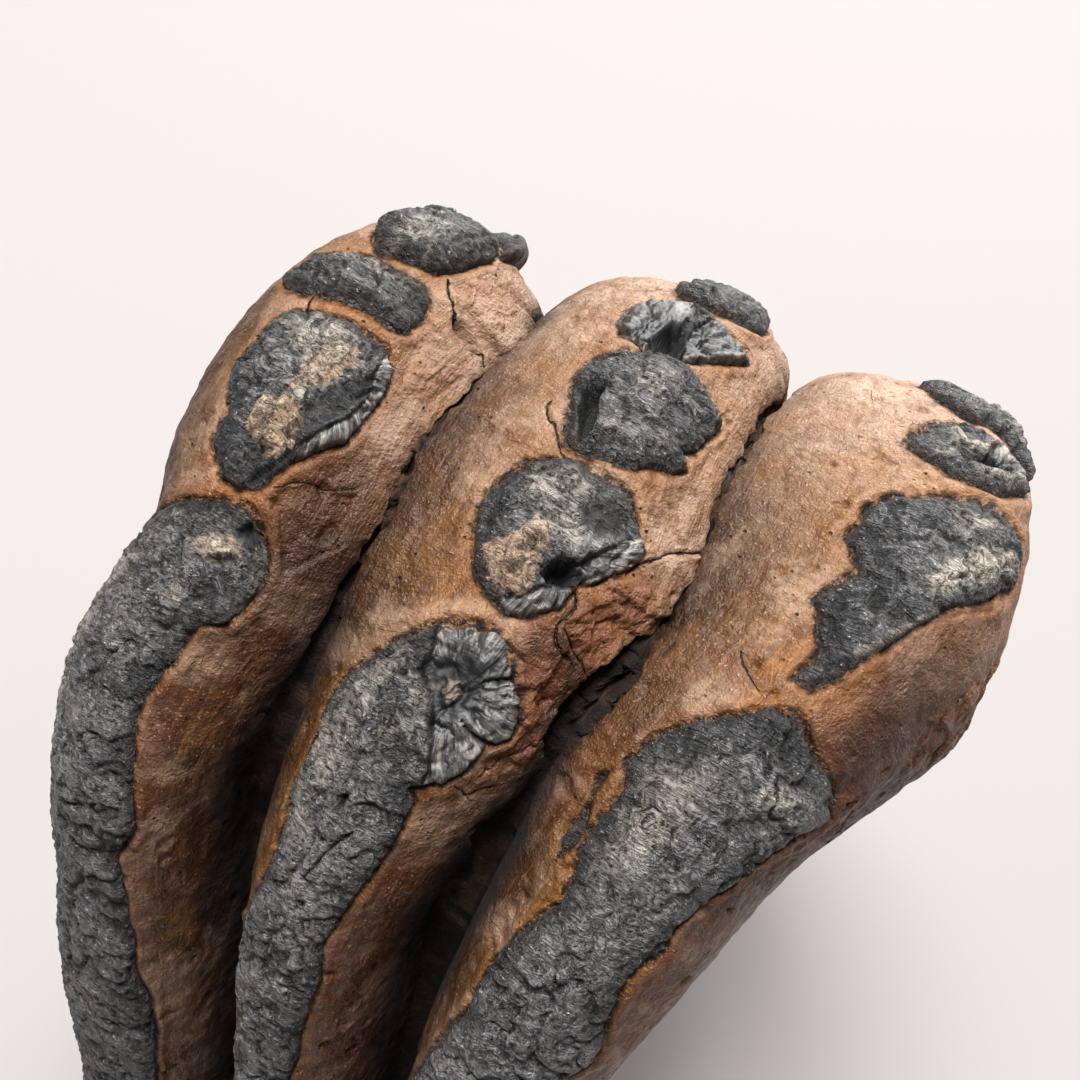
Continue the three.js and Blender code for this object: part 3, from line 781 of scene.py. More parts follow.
# Painted sheen: the back of the crown and the right margin of the first two plates' crowns are paled towards
# buff, for the bright reflection there.
painted_sheen_back = mask(cementum, (lengthways, 78, 93, 0, 0.72), (mark.turn, 50, 10))
painted_sheen_right = mask(cementum, (across, *THIRD_PLATE, 0.6, 0), (mark.turn, 20, 50), (lengthways, 70, 80))
painted_sheen = add(cementum, "Math", painted_sheen_back, painted_sheen_right, operation="MAXIMUM")
streaked = mask(cementum, (off_plates, 0, 1, 1, 0.5), (on_crown, 0, 1, 1, 0.4))
# Painted shade: below the crown the flanks are darkened on the left, and on the right too, from 7 mm
# higher on the third plate. The same share darkens the rear a little.
painted_shade_left = mask(cementum, (mark.turn, -25, -75, 0, 0.75), (lengthways, 88, 77))
higher_by = add(cementum, "MapRange", across, *THIRD_PLATE, 0, 7)
lowered = add(cementum, "Math", lengthways, higher_by, operation="SUBTRACT")
painted_shade_right = mask(cementum, (mark.turn, 0, 27, 0, 0.8), (lowered, 76, 69), (lengthways, 60, 67))
deep = add(cementum, "Math", painted_shade_left, painted_shade_right, operation="MAXIMUM")
deep = add(cementum, "Math", rear, 0.35, deep, operation="MULTIPLY_ADD")
to_enamel = add(cementum, "Math", mark.edge, operation="ABSOLUTE")
rim = mask(cementum, (to_enamel, 0.30, 0.08), (noise.grain, 0.38, 0.55))
holes = add(cementum, "Math", rim, pore, operation="MAXIMUM")
holes = add(cementum, "Math", holes, craze, operation="MAXIMUM")
# Painted shade: deep clefts and hollows are blackened, in blotches.
hollow_shade_share = add(cementum, "MapRange", mark.dark, 0.2, 1.0)
shade_in_clefts_and_hollows = add(cementum, "Math", mark.cleft, hollow_shade_share, operation="MAXIMUM")
painted_black_shade = mask(cementum, shade_in_clefts_and_hollows, (noise.blotch, 0.3, 0.55, 0.5, 0.94))
frayed = add(cementum, "MapRange", noise.grain, 0.3, 0.7, -1.3, 1.3)
from_crack = add(cementum, "Math", add(cementum, "Math", mark.crack_side, frayed), operation="ABSOLUTE")
crack_line = mask(cementum, (from_crack, 1.5, 0.7), (mark.crack_near, 0.2, 0.5))
tone = add(cementum, "Mix", on_crown, flank_tone_and_shade, crown_tone_and_shade, data_type="RGBA")
for share, over in (
    # painted sheen, pale buff, fading out towards the rear
    (mask(cementum, painted_sheen, (lengthways, 118, 102)), "#a18672"),
    (off_plates, "#563720"),
    (mask(cementum, (noise.streak, 0.46, 0.60, 0, 0.75), streaked), "#3a200e"),
    (mask(cementum, (noise.streak, 0.46, 0.34, 0, 0.4), streaked), "#96704a"),
    (mask(cementum, (noise.stain, 0.50, 0.60, 0, 0.5), (off_plates, 0, 1, 1, 0.35)), "#a88b75"),
    (add(cementum, "MapRange", noise.stain, 0.48, 0.38, 0, 0.5), "#7c5228"),
    (add(cementum, "MapRange", noise.blotch, 0.50, 0.36, 0, 0.55), "#5f3618"),
    (add(cementum, "MapRange", noise.grain, 0.52, 0.68, 0, 0.6), "#442c1c"),
    # pale grains, partly painted glints on the cement
    (add(cementum, "MapRange", noise.grit, 0.63, 0.75, 0, 0.5), "#bd9c7c"),
    # painted shade under the crown and towards the rear, on the plates only
    (add(cementum, "Mix", off_plates, deep, 0.0), "#260f06"),
    (add(cementum, "Math", mark.flaked, 0.5, operation="MULTIPLY"), "#74462c"),
    (mask(cementum, (to_enamel, 1.0, 0.2, 0, 0.5), (noise.blotch, 0.4, 0.6)), "#80552f"),
    # dark pores, crazing and rim at the enamel; painted shade, near black, in clefts and hollows; dark cracks
    (holes, "#1a0f0a"), (painted_black_shade, "#0d0908"), (crack_line, "#0c0705"),
):
    tone = add(cementum, "Mix", share, tone, hex_colour(over), data_type="RGBA")
height = add(cementum, "Math", noise.streak, 0.06, operation="MULTIPLY")
for pattern, relief in ((noise.grain, 0.15), (noise.grit, 0.07), (noise.fibre, 0.03), (noise.blotch, 0.28),
                        (crack_line, -0.20), (rim, -0.10), (pore, -0.16), (craze, -0.06)):
    height = add(cementum, "Math", pattern, relief, height, operation="MULTIPLY_ADD")
satin = add(cementum, "Mix", painted_black_shade, add(cementum, "MapRange", noise.grain, 0.35, 0.65, 0.36, 0.62), 1.0)
bump = add(cementum, "Bump", Height=height, Distance=MM, Strength=1.0)
show(cementum, add(cementum, "BsdfPrincipled", Base_Color=tone, Roughness=satin, Normal=bump, IOR=1.5,
                   Specular_IOR_Level=0.32))

poles = [outer_face(np.array([[0.0, *FACE_CENTRE]]), 0, side)[0] for side in (-1, 1)]
body_piece = tube_mesh("cement_body", cement, poles, {
    "chart": side_by_side(column_plate[:, None], grid_turn, grid_s), "turn": grid_turn,
    "face": np.sqrt(column_face)[:, None] + 0 * grid_s, **on_body})
body_piece.data.materials.append(cementum)
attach(body_piece, "root")
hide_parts("molar")

# ---------------------------------------------------------------------------------------------------------
# Enamel fingers. Each plate's enamel ends in a row of rounded fingers that stand out of the cement,
# grey-black and granular, and its foremost finger runs down the front as a long ridge. Worn and broken tips
# show glassy crystal fans, hollows painted black as painted shade, and pale sediment. Each finger is a closed
# solid let into the cement.
# ---------------------------------------------------------------------------------------------------------
CREVICE = (0.06, 0.30)  # least and greatest depth of the gap between cement and enamel
CREVICE_HALF = 0.08
KEEL = 3.6  # depth of the buried underside below the cement
TIP_SPACING = 0.09  # between the points of a finger's grid, and below for the long ridges
RIDGE_SPACING = 0.11
REAR_SPACING = 0.2
COARSE_FOOT = (24, 80)  # below this s, a ridge runs to the foot in so many rows
REAR_ROWS = 260
LAST_TURN = 89  # a patch stops this side of the plate's edge lines
END_MARGIN = 0.5  # the normals at the very foot are taken this far up


def finger_patch(plate, outlines, rise, shoulder, corners, spacing):
    """Fine grid over a finger and the cement round it, from high to low s. Inside the ragged outline the skin
    stands above the cement by rise times the height of a quarter circle whose radius is the shoulder; outside
    it is cement; between them lies a narrow gap, as deep as noise along the border says."""
    box = patch_box(outlines, corners)
    (left, lowest), (right, highest) = box
    across = np.linspace(left, right, int((right - left) / spacing)) / (DEGREE * CHART_RADIUS)
    fine_from = max(lowest, COARSE_FOOT[0])
    stations = np.linspace(highest, fine_from, int((highest - fine_from) / spacing))
    if lowest < fine_from:
        stations = np.concatenate([stations[:-1], np.linspace(fine_from, max(lowest, 0), COARSE_FOOT[1])])
    if highest > S_END:
        stations = np.linspace(S_END, lowest, REAR_ROWS)
    turn, s = np.meshgrid(np.clip(across, -LAST_TURN, LAST_TURN), stations)
    base = plate_surface(plate, turn, s)
    normal = plate_normal(plate, turn, np.clip(s, END_MARGIN, S_END - END_MARGIN))
    cement = cement_skin(plate, turn, s, base)
    own = enamel_inside(outlines, turn, s, base)
    border = own + 0.05 * lumps(base, 0.4, 44) + 0.03 * lumps(base, 0.2, 45)
    t = np.clip(border / shoulder, 0, 1)
    blocks = 0.15 * rough(base, 1.9, 60) + 0.13 * rough(base, 0.75, 61, 3)
    crumbs = 0.07 * np.abs(lumps(base, 0.42, 64)) + 0.05 * lumps(base, 0.24, 65)
    drawn_out = np.stack([base[..., 0] * 0.5 + 0.8 * lumps(base, 2, 67), s * 2.2, 0 * s], -1)
    strands = 0.05 * rough(drawn_out, 1.1, 66)
    crease = bell(rough(base, 1.6, 68), 0.07) + 0.5 * bell(rough(base, 0.8, 69), 0.08)
    rounded = rise * np.sqrt(1 - (1 - t)**2)
    height = 0.30 * rough(base, 7, 1) - 0.22 * crease + rounded + blocks + crumbs + strands
    inside_patch = in_box(box, turn, s)
    outside = cement.relief - RIM_DIP * (1 - smooth_ramp(inside_patch, 0.05, 0.35))
    outside -= 1.2 * smooth_ramp(cement.edge, 0.1, 0.7) * (cement.edge > own + 0.05)
    gap = CREVICE[0] + (CREVICE[1] - CREVICE[0]) * (0.5 + 0.5 * lumps(base, 1.6, 46))
    share = smooth_ramp(border, -0.03, 0.14)
    height = outside * (1 - share) + height * share - gap * bell(border - 0.03, CREVICE_HALF)
    ray = side_by_side(0, turn, s)
    patch = SimpleNamespace(plate=plate, turn=turn, s=s, base=base, normal=normal, border=border, ray=ray,
                            cement=cement, height=height)
    for kind in ("fan", "fresh", "deposit", "pale"):
        setattr(patch, kind, 0 * height)
    # Creases are painted partly black: painted shade.
    patch.void = 0.45 * np.clip(crease, 0, 1)
    return patch


def diamond(turn, s, half_turn, half_s):
    """Outline of a small spot round a place."""
    return [(turn - half_turn, s), (turn, s + half_s), (turn + half_turn, s), (turn, s - half_s)]


def region(patch, outline, ragged=0.15, size=0.8):
    """Distance in mm inside an outline of (turn, s) points, shifted by noise so that its rim is ragged."""
    return inside_by(outline, patch.turn, patch.s) + ragged * rough(patch.base, size, 83)


def hollow(patch, outline, depth, void=1.0, soft=0.35, ragged=0.15):
    """Broken-out hollow: the skin sinks by depth over a soft ragged rim, and void of it is painted black, a
    painted shade.
    """
    inside = region(patch, outline, ragged)
    share = smooth_ramp(inside, -0.05, soft)
    patch.height -= depth * share
    patch.void = np.maximum(patch.void, void * smooth_ramp(inside, -0.02, 0.7 * soft))
    for kind in ("deposit", "pale"):
        setattr(patch, kind, getattr(patch, kind) * (1 - void * share))


def sediment(patch, outline, lift, size=0.6, amount=1.0):
    """Pale sediment stuck in the finger: ragged, faceted, standing up by lift. Its mark fades over 0.8 mm,
    for the grains of the material to fray."""
    inside = region(patch, outline, 0.25, 0.9)
    share = smooth_ramp(inside, -0.1, 0.25)
    facets = 0.24 * flakes(patch.base, size, 91) + 0.10 * flakes(patch.base, size * 0.5, 92)
    patch.height += share * (lift + facets)
    patch.deposit = np.maximum(patch.deposit, amount * smooth_ramp(inside, -0.4, 0.4))
    patch.void *= 1 - share
    patch.fan *= 1 - share


def dusting(patch, outline, amount, soft=0.7):
    """Pale powder over a region, fading out past its rim."""
    patch.pale = np.maximum(patch.pale, amount * smooth_ramp(region(patch, outline, 0.35), -0.3, soft))


def crystal_fan(patch, centre, outline, depth, petals=9, seed=0):
    """Crystals laid open round a centre: a dish that deepens towards the centre. Noise of the direction alone
    cuts it into rounded petals, each with its own level and brightness, with fine blades along them. The
    brightness falls between the petals and towards the centre: painted shade."""
    inside = region(patch, outline, 0.10)
    share = smooth_ramp(inside, 0, 0.25) * (patch.border > 0)
    off = chart(patch.turn, patch.s) - on_chart(centre)
    reach = np.hypot(off[..., 0], off[..., 1])
    angle = np.arctan2(off[..., 1], off[..., 0]) / (2 * np.pi) + 0.5
    place = angle * petals + 0.3 * lumps(patch.base, 1.2, 95 + seed)
    petal = np.floor(place).astype(np.int64)
    level = lattice((petal % petals, 0 * petal, 0 * petal), 96 + seed)
    rounded = np.sin(np.pi * (place - petal))
    way = off / np.maximum(reach, 1e-6)[..., None]
    ray = np.concatenate([way * petals / 3, reach[..., None] * 0.25 + seed], -1)
    blades = lumps(ray, 0.16, 98) + 0.6 * lumps(ray, 0.08, 99)
    longest = reach[share > 0].max() if (share > 0).any() else 1
    out = np.clip(reach / longest, 0, 1)
    petal_height = 0.16 * (level - 0.5) + 0.10 * rounded**0.7 + 0.03 * blades
    patch.height -= share * (depth * (1 - out)**1.4 - petal_height * np.clip(reach / 0.8, 0, 1))
    patch.void *= 1 - share
    patch.pale *= 1 - share
    # Darker towards the seams between petals and towards the centre: painted shade.
    bright = (0.55 + 0.45 * level) * (0.55 + 0.45 * rounded**0.5) * smooth_ramp(out, 0.15, 0.7)
    patch.fan = np.where(share > 0, share * np.clip(bright, 0.02, 1), patch.fan)
    patch.fresh = np.maximum(patch.fresh, share)
    patch.ray = np.where(share[..., None] > 0.02, ray * 3, patch.ray)


def split(patch, route, half, depth):
    """Open crack along a line of (turn, s) points, painted dark inside: painted shade."""
    signed, share = line_of(route, patch.turn, patch.s)
    signed = signed + 0.08 * lumps(patch.base, 0.6, 75)
    width = half * (0.5 + both_ends(share, 0.3))
    line = bell(signed, width) * ((share > 0) & (share < 1)) * (patch.border > 0)
    patch.height -= depth * line
    patch.void = np.maximum(patch.void, line)


def fold(patch, route, half, lift, pale):
    """Raised fold along a line of (turn, s) points, dusted along its top."""
    signed, share = line_of(route, patch.turn, patch.s)
    signed = signed + 0.12 * lumps(patch.base, 0.7, 77)
    line = bell(signed, half) * both_ends(share, 0.1)
    patch.height += lift * line
    patch.pale = np.maximum(patch.pale, pale * line)


def finger_piece(patch, name):
    """Closed mesh of the finger: its skin, and a keel line deep under it that closes every ring."""
    skin = patch.base + patch.normal * patch.height[..., None]
    middle = np.full(len(patch.s), np.mean([patch.turn.min(), patch.turn.max()]))
    keel = plate_surface(patch.plate, middle, patch.s[:, 0])
    keel -= KEEL * plate_normal(patch.plate, middle, np.clip(patch.s[:, 0], END_MARGIN, S_END - END_MARGIN))
    grid = np.concatenate([skin, keel[:, None]], 1)
    for row in (0, -1):
        if patch.s[row, 0] <= 0 or patch.s[row, 0] >= S_END:
            grid[row, :, 2] = 0
    grid[..., 2] = np.maximum(grid[..., 2], 0)

    def with_keel(values):
        return np.concatenate([values, values[:, :1]], 1)

    marks = {"chart": side_by_side(patch.plate, patch.turn, patch.s), "face": 0 * patch.turn}
    for kind in ("ray", "border", "fan", "fresh", "deposit", "void", "pale", "turn"):
        marks[kind] = getattr(patch, kind)
    for kind in on_body:
        marks[kind] = getattr(patch.cement, kind)
    ends = [grid[0].mean(0), grid[-1].mean(0)]
    piece = tube_mesh(name, grid, ends, {kind: with_keel(values) for kind, values in marks.items()})
    piece.data.materials.append(enamel)
    piece.data.materials.append(cementum)
    border = with_keel(patch.border)
    corners = [border[:-1], border[1:], np.roll(border, -1, 1)[1:], np.roll(border, -1, 1)[:-1]]
    slots = (np.mean(corners, axis=0) < 0).astype(np.int32).ravel()
    fans = np.ones(len(piece.data.polygons) - len(slots), np.int32)
    piece.data.polygons.foreach_set("material_index", np.concatenate([slots, fans]))
    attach(piece, "root")
    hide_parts("molar")


# Fossil enamel: tightly packed mineral prisms, stained grey-black. Its weathered skin gives the eye dark
# grains dusted with pale grey and cream specks. Where it broke it is glassy, in rays or shells.
enamel, in_mm = start_material("fossil_enamel")
chart_at = add(enamel, "Attribute", attribute_name="chart", out="Vector")
lengthways = add(enamel, "SeparateXYZ", chart_at, out="Y")
across = lengthways.node.outputs["X"]
ray_way = add(enamel, "Attribute", attribute_name="ray", out="Vector")
mark = SimpleNamespace(**{name: add(enamel, "Attribute", attribute_name=name, out="Fac") for name in (
    "turn", "border", "fan", "fresh", "deposit", "pale", "void")})
FIRST_PLATE = (14, 15)  # between the charts of the first and the second plate
waves_way = add(enamel, "Mapping", chart_at, Scale=(0.8, 3.6, 1))
# Name, place, waves in each mm of it, detail, roughness and distortion. Stains are 3 mm wide, grains 0.7 mm,
# grit 0.2 mm and growth waves 0.3 mm; rays follow their own fan. Real prisms are finer than the eye sees, so
# these are drawn as coarse as they need to show.
noise = SimpleNamespace(**{
    name: add(enamel, "TexNoise", place, Scale=waves, Detail=detail, Roughness=rough_by, Distortion=bent_by)
    for name, place, waves, detail, rough_by, bent_by in (
        ("stain", in_mm, 0.32, 4, 0.6, 0.5), ("grain", in_mm, 1.5, 4, 0.78, 1.4),
        ("grit", in_mm, 5.5, 2, 0.7, 0), ("waves", waves_way, 1, 3, 0.65, 1.6),
        ("rays", ray_way, 0.9, 2, 0.6, 0))})

grain_tone = add(enamel, "ValToRGB", noise.grain, stops=[
    (0.43, "#030304"), (0.62, "#e4decf"), (0.475, "#111115"), (0.51, "#37373c"), (0.555, "#858385")])
ray_tone = add(enamel, "ValToRGB", noise.rays, stops=[
    (0.34, "#131316"), (0.70, "#dcd8ce"), (0.44, "#3a3a3f"), (0.53, "#6f6c6b"), (0.61, "#a39d94")])
chalk_tone = add(enamel, "ValToRGB", noise.grain, stops=[
    (0.34, "#22160f"), (0.65, "#e9dfd0"), (0.42, "#563f2e"), (0.49, "#8a705a"), (0.56, "#b59c84")])
# Where the fan is dim, between petals and towards its centre, it is black: painted shade.
in_fan = add(enamel, "MapRange", mark.fan, 0.1, 0.9)
glass_tone = add(enamel, "Mix", in_fan, hex_colour("#0a0a0d"), ray_tone, data_type="RGBA")
shifted = add(enamel, "MapRange", noise.stain, 0.35, 0.65, -0.5, 0.5)
inner_part = add(enamel, "Math", mark.border, shifted)
frayed = add(enamel, "MapRange", noise.grain, 0.3, 0.7, -0.35, 0.35)
ragged_fill = add(enamel, "Math", mark.deposit, frayed)
filling = add(enamel, "MapRange", ragged_fill, 0.35, 0.6)
tone = grain_tone
for share, over in (
    (add(enamel, "MapRange", lengthways, 74, 84, 0, 0.5), "#0f0f12"),
    # painted shade: darker over the left side of the enamel, and down the lower part of the first ridge
    (add(enamel, "MapRange", mark.turn, -12, -60, 0, 0.6), "#17181d"),
    (mask(enamel, (lengthways, 60, 38, 0, 0.65), (across, *FIRST_PLATE, 1, 0)), "#141418"),
    # near black towards the enamel's border: a dark polished rim, and painted shade that rounds the finger
    (add(enamel, "MapRange", inner_part, 1.9, 0.3, 0, 0.9), "#0b0b0f"),
    (add(enamel, "MapRange", noise.waves, 0.50, 0.36, 0, 0.75), "#0e0e12"),
    (mask(enamel, (noise.stain, 0.46, 0.58, 0, 0.85), (noise.grit, 0.42, 0.60), (lengthways, 66, 80, 1, 0.35),
          (inner_part, 0.4, 1.6)), "#84817d"),
    (mask(enamel, (noise.grit, 0.63, 0.71), (noise.grain, 0.42, 0.6)), "#d2ccbd"),
    (mark.fresh, glass_tone),
    (mask(enamel, (mark.border, 0.5, 0.05), (noise.grain, 0.40, 0.60)), "#3a2315"),
    (filling, chalk_tone),
    (mask(enamel, mark.pale, (noise.grain, 0.40, 0.60)), "#c4b8a8"),
    # painted shade: black in hollows, splits and creases
    (mark.void, "#050404"),
):
    over = hex_colour(over) if isinstance(over, str) else over
    tone = add(enamel, "Mix", share, tone, over, data_type="RGBA")
height = add(enamel, "Math", noise.grain, 0.45, operation="MULTIPLY")
for pattern, relief in ((noise.grit, 0.16), (noise.waves, 0.42)):
    height = add(enamel, "Math", pattern, relief, height, operation="MULTIPLY_ADD")
height = mask(enamel, height, (mark.fresh, 0, 1, 1, 0.12))
height = add(enamel, "Math", mask(enamel, noise.rays, mark.fan), 0.22, height, operation="MULTIPLY_ADD")
bump = add(enamel, "Bump", Height=height, Distance=MM, Strength=1.0)
gloss = add(enamel, "Mix", mark.fresh, add(enamel, "MapRange", noise.grain, 0.35, 0.65, 0.32, 0.55), 0.42)
dull = add(enamel, "Math", filling, mark.void, operation="MAXIMUM")
gloss = add(enamel, "Mix", dull, gloss, 0.75)
show(enamel, add(enamel, "BsdfPrincipled", Base_Color=tone, Roughness=gloss, Normal=bump, IOR=1.62))

patches = {}
for name, p, rise, shoulder, corners, outlines in FINGERS:
    spacing = RIDGE_SPACING if name.startswith("ridge") else TIP_SPACING
    patches[name] = finger_patch(p, outlines, rise, shoulder, corners, spacing)

# First plate, front ridge: pale crystal in a broken crater on its tip, a square hole beside it.
patch = patches["ridge_1"]
hollow(patch, [(-12, 64.9), (-21, 65.4), (-16, 66.2), (-10, 67), (-5, 67.6), (9, 67.7), (19, 66.6), (8, 65.1),
               (-3, 64.8)], 0.32, 0.35)
sediment(patch, [(-14, 65.7), (-7, 66.2), (4, 66.8), (10, 66.6), (12, 66.1), (7, 65.4), (-4, 65.2),
                 (-11, 65.2)], 0.1, 0.9)
dusting(patch, [(-13, 65.7), (-6, 66.3), (4, 66.7), (10, 66.4), (6, 65.6), (-5, 65.3)], 1.0, 0.3)
hollow(patch, [(1, 67), (8, 67.8), (17, 67.5), (13, 66.8), (6, 66.6)], 0.45, 1)
split(patch, [(-22, 65.9), (-18, 65.3), (-8, 64.6)], 0.078, 0.3)
dusting(patch, [(18, 67.3), (26, 66.6), (27, 65.2), (22, 65.6)], 0.6, 0.3)
dusting(patch, [(-8, 63.9), (6, 64), (10, 62.6), (-2, 62.4)], 0.7)
dusting(patch, [(-55, 62), (-42, 65.5), (-30, 64), (-35, 58), (-45, 50), (-58, 52)], 0.55)

# Second finger: a cream streak over it, a black pit beside that, and a glassy broken flank on the right.
patch = patches["tip_1b"]
hollow(patch, [(-1, 73), (6, 74.6), (17, 75.8), (24, 77), (26, 75.8), (18, 73.8), (10, 72.5), (3, 71.6),
               (0, 70.4)], 0.35, 0.7)
crystal_fan(patch, (3, 75.2), [(23, 78.6), (36, 77.6), (36, 75.5), (29, 74), (24, 72.3), (15, 71.2),
    (9, 70.4), (7, 71.7), (12, 72.8), (20, 74.2), (25, 75.8), (22, 77.1)], 0.4, 14, 2)
sediment(patch, [(-17, 72.1), (-15, 72.8), (-7, 73.2), (1, 73.2), (4, 72.3), (5, 71.5), (2, 70.7), (-3, 70.2),
                 (-8, 70.7), (-15, 71.2)], 0.22, 0.8)
sediment(patch, [(-8, 73.4), (-7, 74.8), (-3, 76.2), (4, 77), (13, 77.1), (15, 76.2), (9, 75.2), (1, 74.4)],
                 0.02)
dusting(patch, [(-26, 76.5), (-10, 78), (12, 77.8), (8, 75.5), (-10, 75)], 0.7)
dusting(patch, [(-14, 72.1), (-6, 72.9), (0, 73.6), (6, 75.4), (12, 76.8), (4, 76.6), (-4, 75), (-6, 73.4),
                (-14, 72.8)], 0.95, 0.4)
hollow(patch, [(-9, 70.9), (-4, 71), (-3, 70.4), (-7, 70.3)], 0.5, 1)
hollow(patch, [(-6, 68.4), (0, 69.1), (4, 70), (9, 71.2), (8, 71.8), (2, 70.6), (-4, 69.6)], 0.45, 0.95)
split(patch, [(-40, 73.9), (-30, 74.3), (-28, 75.4), (-30, 77)], 0.065, 0.35)

patch = patches["tip_1c"]
split(patch, [(-34, 82), (-30, 80.5), (-24, 79.6), (-22, 79)], 0.072, 0.6)
dusting(patch, [(-34, 81.6), (-10, 82.3), (12, 82.3), (10, 81.6), (-12, 81.4)], 0.7, 0.4)
fold(patch, [(-20, 80), (-4, 80.3), (10, 80.2), (20, 80.6)], 0.3, 0.16, 0.1)

patch = patches["tip_1d"]
dusting(patch, [(-8, 82.9), (-14, 83.6), (-20, 85), (-14, 87), (0, 85.8), (2, 84.2), (-7, 83.6)], 0.75)
fold(patch, [(-10, 85.6), (-2, 84.6), (4, 84), (6, 83.3)], 0.18, 0.12, 0.5)
hollow(patch, [(-5, 82.4), (5, 82.7), (13, 83), (16, 84.4), (12, 84.2), (4, 83.6), (-4, 83.3)], 0.25, 0.6)

# Second plate, front ridge: its tip is a flower of crystal petals round a black hole with a brown core.
patch = patches["ridge_2"]
crystal_fan(patch, (-2, 65.8), [(-22, 68), (-14, 69), (-2, 69.4), (7, 69), (15, 68.5), (28, 68), (38, 66.7),
    (39, 65.2), (33, 64.6), (35, 63.4), (33, 61.9), (24, 60.9), (17, 62.6), (11, 63.4), (-2, 64.5),
    (-10, 65.2), (-18, 65.9), (-19, 66.8)], 0.8, 13)
hollow(patch, [(-18, 66.8), (-8, 68), (3, 67.5), (10, 66.4), (9, 64.8), (0, 64.2), (-10, 64.8)], 0.35, 0.97,
               1.6)
sediment(patch, [(-7, 66.3), (-2, 66.5), (3, 65.6), (0, 65.1), (-5, 65.6)], 0.55, 0.5, 0.42)
# painted shade: the sediment in the hole is darkened
patch.void = np.maximum(patch.void, 0.6 * smooth_ramp(patch.deposit, 0.02, 0.2))
split(patch, [(22, 68), (12, 67.4), (5, 66.9)], 0.065, 0.4)
split(patch, [(36, 64.9), (22, 64.8), (12, 65)], 0.065, 0.4)
hollow(patch, [(-5, 59.6), (-1, 59.8), (0, 59), (-4, 58.8)], 0.45, 1, 0.25)
split(patch, [(9, 58.5), (6, 57.9), (1, 56.7), (-6, 55)], 0.065, 0.3)
for t, v in ((-10, 65), (-3, 63.8), (-8, 63.3), (-15, 57), (-11, 54.5), (10, 52), (-22, 43), (-18, 61)):
    dusting(patch, diamond(t, v, 5, 0.6), 1.0, 0.5)
dusting(patch, [(-34, 66), (-25, 67.5), (-20, 64), (-12, 60), (-20, 55), (-32, 58), (-40, 63)], 0.45)

# Second finger: a sediment chunk, a black hole, two fans under and beside it, and a smooth dark recess above.
patch = patches["tip_2b"]
hollow(patch, [(-3, 75.6), (0, 76.7), (10, 77.3), (20, 76.8), (22, 75.6), (11, 74.8), (2, 74.7)], 0.38, 0.75,
               0.8)
crystal_fan(patch, (4, 73.3), [(-9, 70.6), (-4, 70.9), (-1, 71.8), (12, 72.7), (19, 72.5), (18, 71),
    (11, 70.1), (5, 69.6), (-4, 69.2), (-10, 69.4)], 0.6, 15, 5)
crystal_fan(patch, (1, 73.4), [(8, 73.4), (12, 74.2), (21, 75.8), (31, 76.9), (38, 75.8), (32, 74.2),
    (24, 72.9), (16, 72.7)], 0.6, 17, 9)
hollow(patch, [(-3, 72.8), (1, 73.4), (8, 73.6), (14, 73.2), (13, 72.4), (2, 71.9), (-3, 72.1)], 1.8, 1)
sediment(patch, [(-21, 71.9), (-20, 72.5), (-15, 73.1), (-14, 73.6), (-11, 74.3), (-7, 74.4), (-5, 73.5),
                 (-3, 72.5), (-2, 71.6), (-3, 70.9), (-10, 70.6), (-15, 70.9)], 0.25, 0.9)
hollow(patch, [(-13, 72.6), (-10, 73.6), (-7, 73.9), (-5, 72.9), (-10, 72.4)], 0.35, 0.6)
dusting(patch, [(-13, 73.6), (-8, 75.2), (-3, 75.2), (8, 74.4), (4, 73.8), (-4, 74.1)], 0.55, 0.3)
split(patch, [(-25, 76.6), (-26, 75), (-24, 73.4), (-22, 72.2)], 0.078, 0.5)
dusting(patch, [(-22, 76.4), (-8, 77.6), (0, 76.8), (-6, 75.4), (-18, 74.6)], 0.6)

# Third finger: a black wedge and a sliver of cement on its left, and a frayed right end.
patch = patches["tip_2c"]
hollow(patch, [(-21, 81.4), (-22, 82.7), (-16, 82.6), (-14, 81.6), (-10, 79.6), (-12, 78.8), (-19, 80.5)],
               1.9, 1, 0.2)
split(patch, [(-26, 79.9), (-18, 78.7), (-12, 78.1)], 0.078, 0.4)
for t, v in ((12, 84.6), (18, 84.2), (24, 83.7), (30, 83.2), (24, 81.5), (28, 82.2)):
    split(patch, [(t, v), (t + 14, v + 0.5)], 0.058, 0.22)
fold(patch, [(-18, 79.2), (-4, 80.1), (8, 80.4), (20, 81.6)], 0.35, 0.22, 0.25)
dusting(patch, [(-12, 82), (-10, 84.8), (10, 85), (6, 83)], 0.4)

# Fourth finger: broken open, a black hollow between glassy blades.
patch = patches["tip_2d"]
crystal_fan(patch, (-4, 86.6), [(-27, 86.6), (-28, 89), (-20, 90.2), (-6, 91), (-2, 88.6), (-6, 87.6),
    (-9, 86.6), (-8, 85.2), (-16, 85.5)], 0.9, 7, 3)
crystal_fan(patch, (-6, 86.9), [(-2, 88.6), (3, 91), (16, 91), (30, 90.8), (34, 89.6), (25, 87.7), (12, 85.9),
                                (3, 85), (3, 86.3)], 0.8, 22, 6)
hollow(patch, [(-11, 86.4), (-8, 88.4), (-2, 88.6), (3, 87.2), (3, 85.8), (-2, 84.7), (-9, 85.1)], 1.9, 1)
patch.fan *= 0.4
fold(patch, [(4, 86.2), (14, 87.3), (24, 88.6), (32, 90)], 0.14, 0.14, 0.4)

